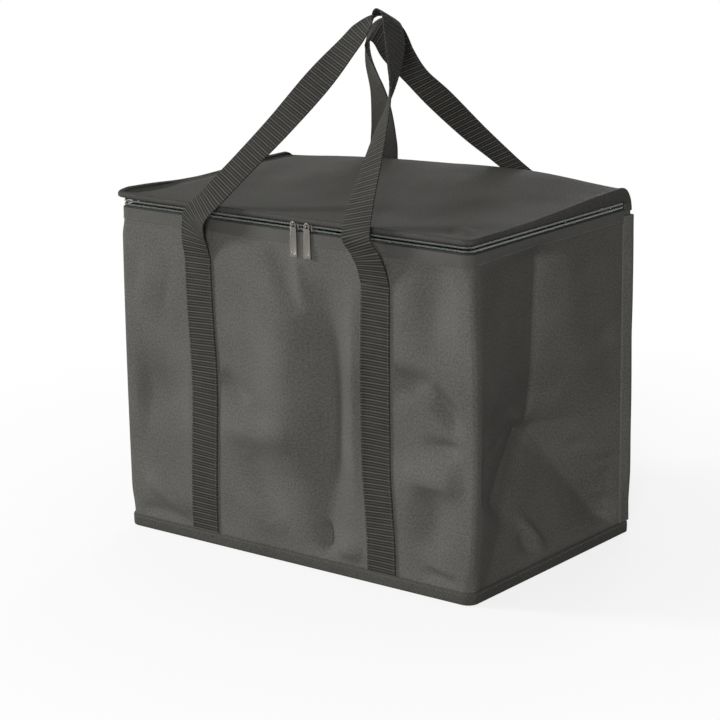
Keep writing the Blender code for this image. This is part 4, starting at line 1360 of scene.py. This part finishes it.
studio = {
    "world": 0.26,
    "lamps": {  # place, aim, size and power
        "key": ((-2.886, -1.534, 1.137), (0, 0, 0.2), 0.9, 125),
        "front": ((1.760, -2.925, 0.99), (0, 0, 0.2), 0.8, 86),
        "back": ((-1.15, 3.15, 0.85), (0, 0, 0.2), 1.2, 45),
    },
}


def makeCamera():
    e, a, r = lens["elevation"], lens["azimuth"], lens["roll"]
    back = Vector((math.sin(a) * math.cos(e), -math.cos(a) * math.cos(e), math.sin(e)))
    right = Vector((math.cos(a), math.sin(a), 0))
    up = back.cross(right)
    c, s = math.cos(r), math.sin(r)
    rolledRight, rolledUp = right * c + up * s, up * c - right * s
    turn = Matrix((rolledRight, rolledUp, back)).transposed().to_4x4()
    camera = bpy.data.objects.new("photoCamera", bpy.data.cameras.new("photoCamera"))
    bpy.context.collection.objects.link(camera)
    camera.data.lens, camera.data.sensor_width = lens["focal"], lens["sensor"]
    camera.matrix_world = Matrix.Translation(lens["place"]) @ turn
    bpy.context.scene.camera = camera


def areaLight(name, place, aim, size, power):
    lamp = bpy.data.objects.new(name, bpy.data.lights.new(name, "AREA"))
    bpy.context.collection.objects.link(lamp)
    lamp.data.shape, lamp.data.size, lamp.data.energy = "DISK", size, power
    lamp.location = place
    lamp.rotation_euler = (Vector(aim) - Vector(place)).to_track_quat("-Z", "Y").to_euler()


def whiteFloor():
    # lit near the bag, where it keeps the shadow, and plain white to the camera further out
    finish = Finish("floorWhite", (0.2, 0.2, 0.2), 0.95)
    x, y = finish.axes(finish.place())
    far = ((x * x + y * y) ** 0.5).clip(0.25, 0.9) * 0.2 + 0.8
    seen = finish.node("ShaderNodeLightPath")
    glossy = Wire(finish, seen.socket.node.outputs["Is Glossy Ray"])
    clear = Wire(finish, seen.socket.node.outputs["Is Transmission Ray"])
    shown = finish.node("ShaderNodeMath", {"operation": "MAXIMUM"}, {0: seen, 1: glossy})
    shown = finish.node("ShaderNodeMath", {"operation": "MAXIMUM"}, {0: shown, 1: clear})
    finish.tint(shown, (0.2, 0.2, 0.2), (0.8, 0.8, 0.8))
    white = finish.node("ShaderNodeEmission", None, {"Color": (1, 1, 1, 1), "Strength": 1.0})
    shader = finish.shader.outputs[0]
    mixed = finish.node("ShaderNodeMixShader", None, {0: far * shown, 1: Wire(finish, shader), 2: white})
    finish.tree.links.new(mixed.socket, finish.tree.nodes["Material Output"].inputs["Surface"])
    return finish.material


def makeStudio():
    deselect()
    bpy.ops.mesh.primitive_plane_add(size=12, location=(0, 0, -0.0002))
    floor = bpy.context.object
    floor.name = "floor"
    floor.data.materials.append(whiteFloor())
    world = bpy.data.worlds.new("studio")
    world.use_nodes = True
    bpy.context.scene.world = world
    tree = world.node_tree
    lightPath = tree.nodes.new("ShaderNodeLightPath")
    lit, shown = tree.nodes["Background"], tree.nodes.new("ShaderNodeBackground")
    lit.inputs["Color"].default_value = (1, 1, 1, 1)
    lit.inputs["Strength"].default_value = studio["world"]
    shown.inputs["Color"].default_value = (1, 1, 1, 1)
    shown.inputs["Strength"].default_value = 1.0
    pick = tree.nodes.new("ShaderNodeMixShader")
    seen = lightPath.outputs["Is Camera Ray"]
    for kind in ("Is Glossy Ray", "Is Transmission Ray"):
        either = tree.nodes.new("ShaderNodeMath")
        either.operation = "MAXIMUM"
        tree.links.new(seen, either.inputs[0])
        tree.links.new(lightPath.outputs[kind], either.inputs[1])
        seen = either.outputs[0]
    tree.links.new(seen, pick.inputs[0])
    tree.links.new(lit.outputs[0], pick.inputs[1])
    tree.links.new(shown.outputs[0], pick.inputs[2])
    tree.links.new(pick.outputs[0], tree.nodes["World Output"].inputs["Surface"])
    for name, (place, aim, size, power) in studio["lamps"].items():
        areaLight(name, place, aim, size, power)
    bpy.context.scene.view_settings.view_transform = "Standard"


makeCamera()
makeStudio()
print("studio made")
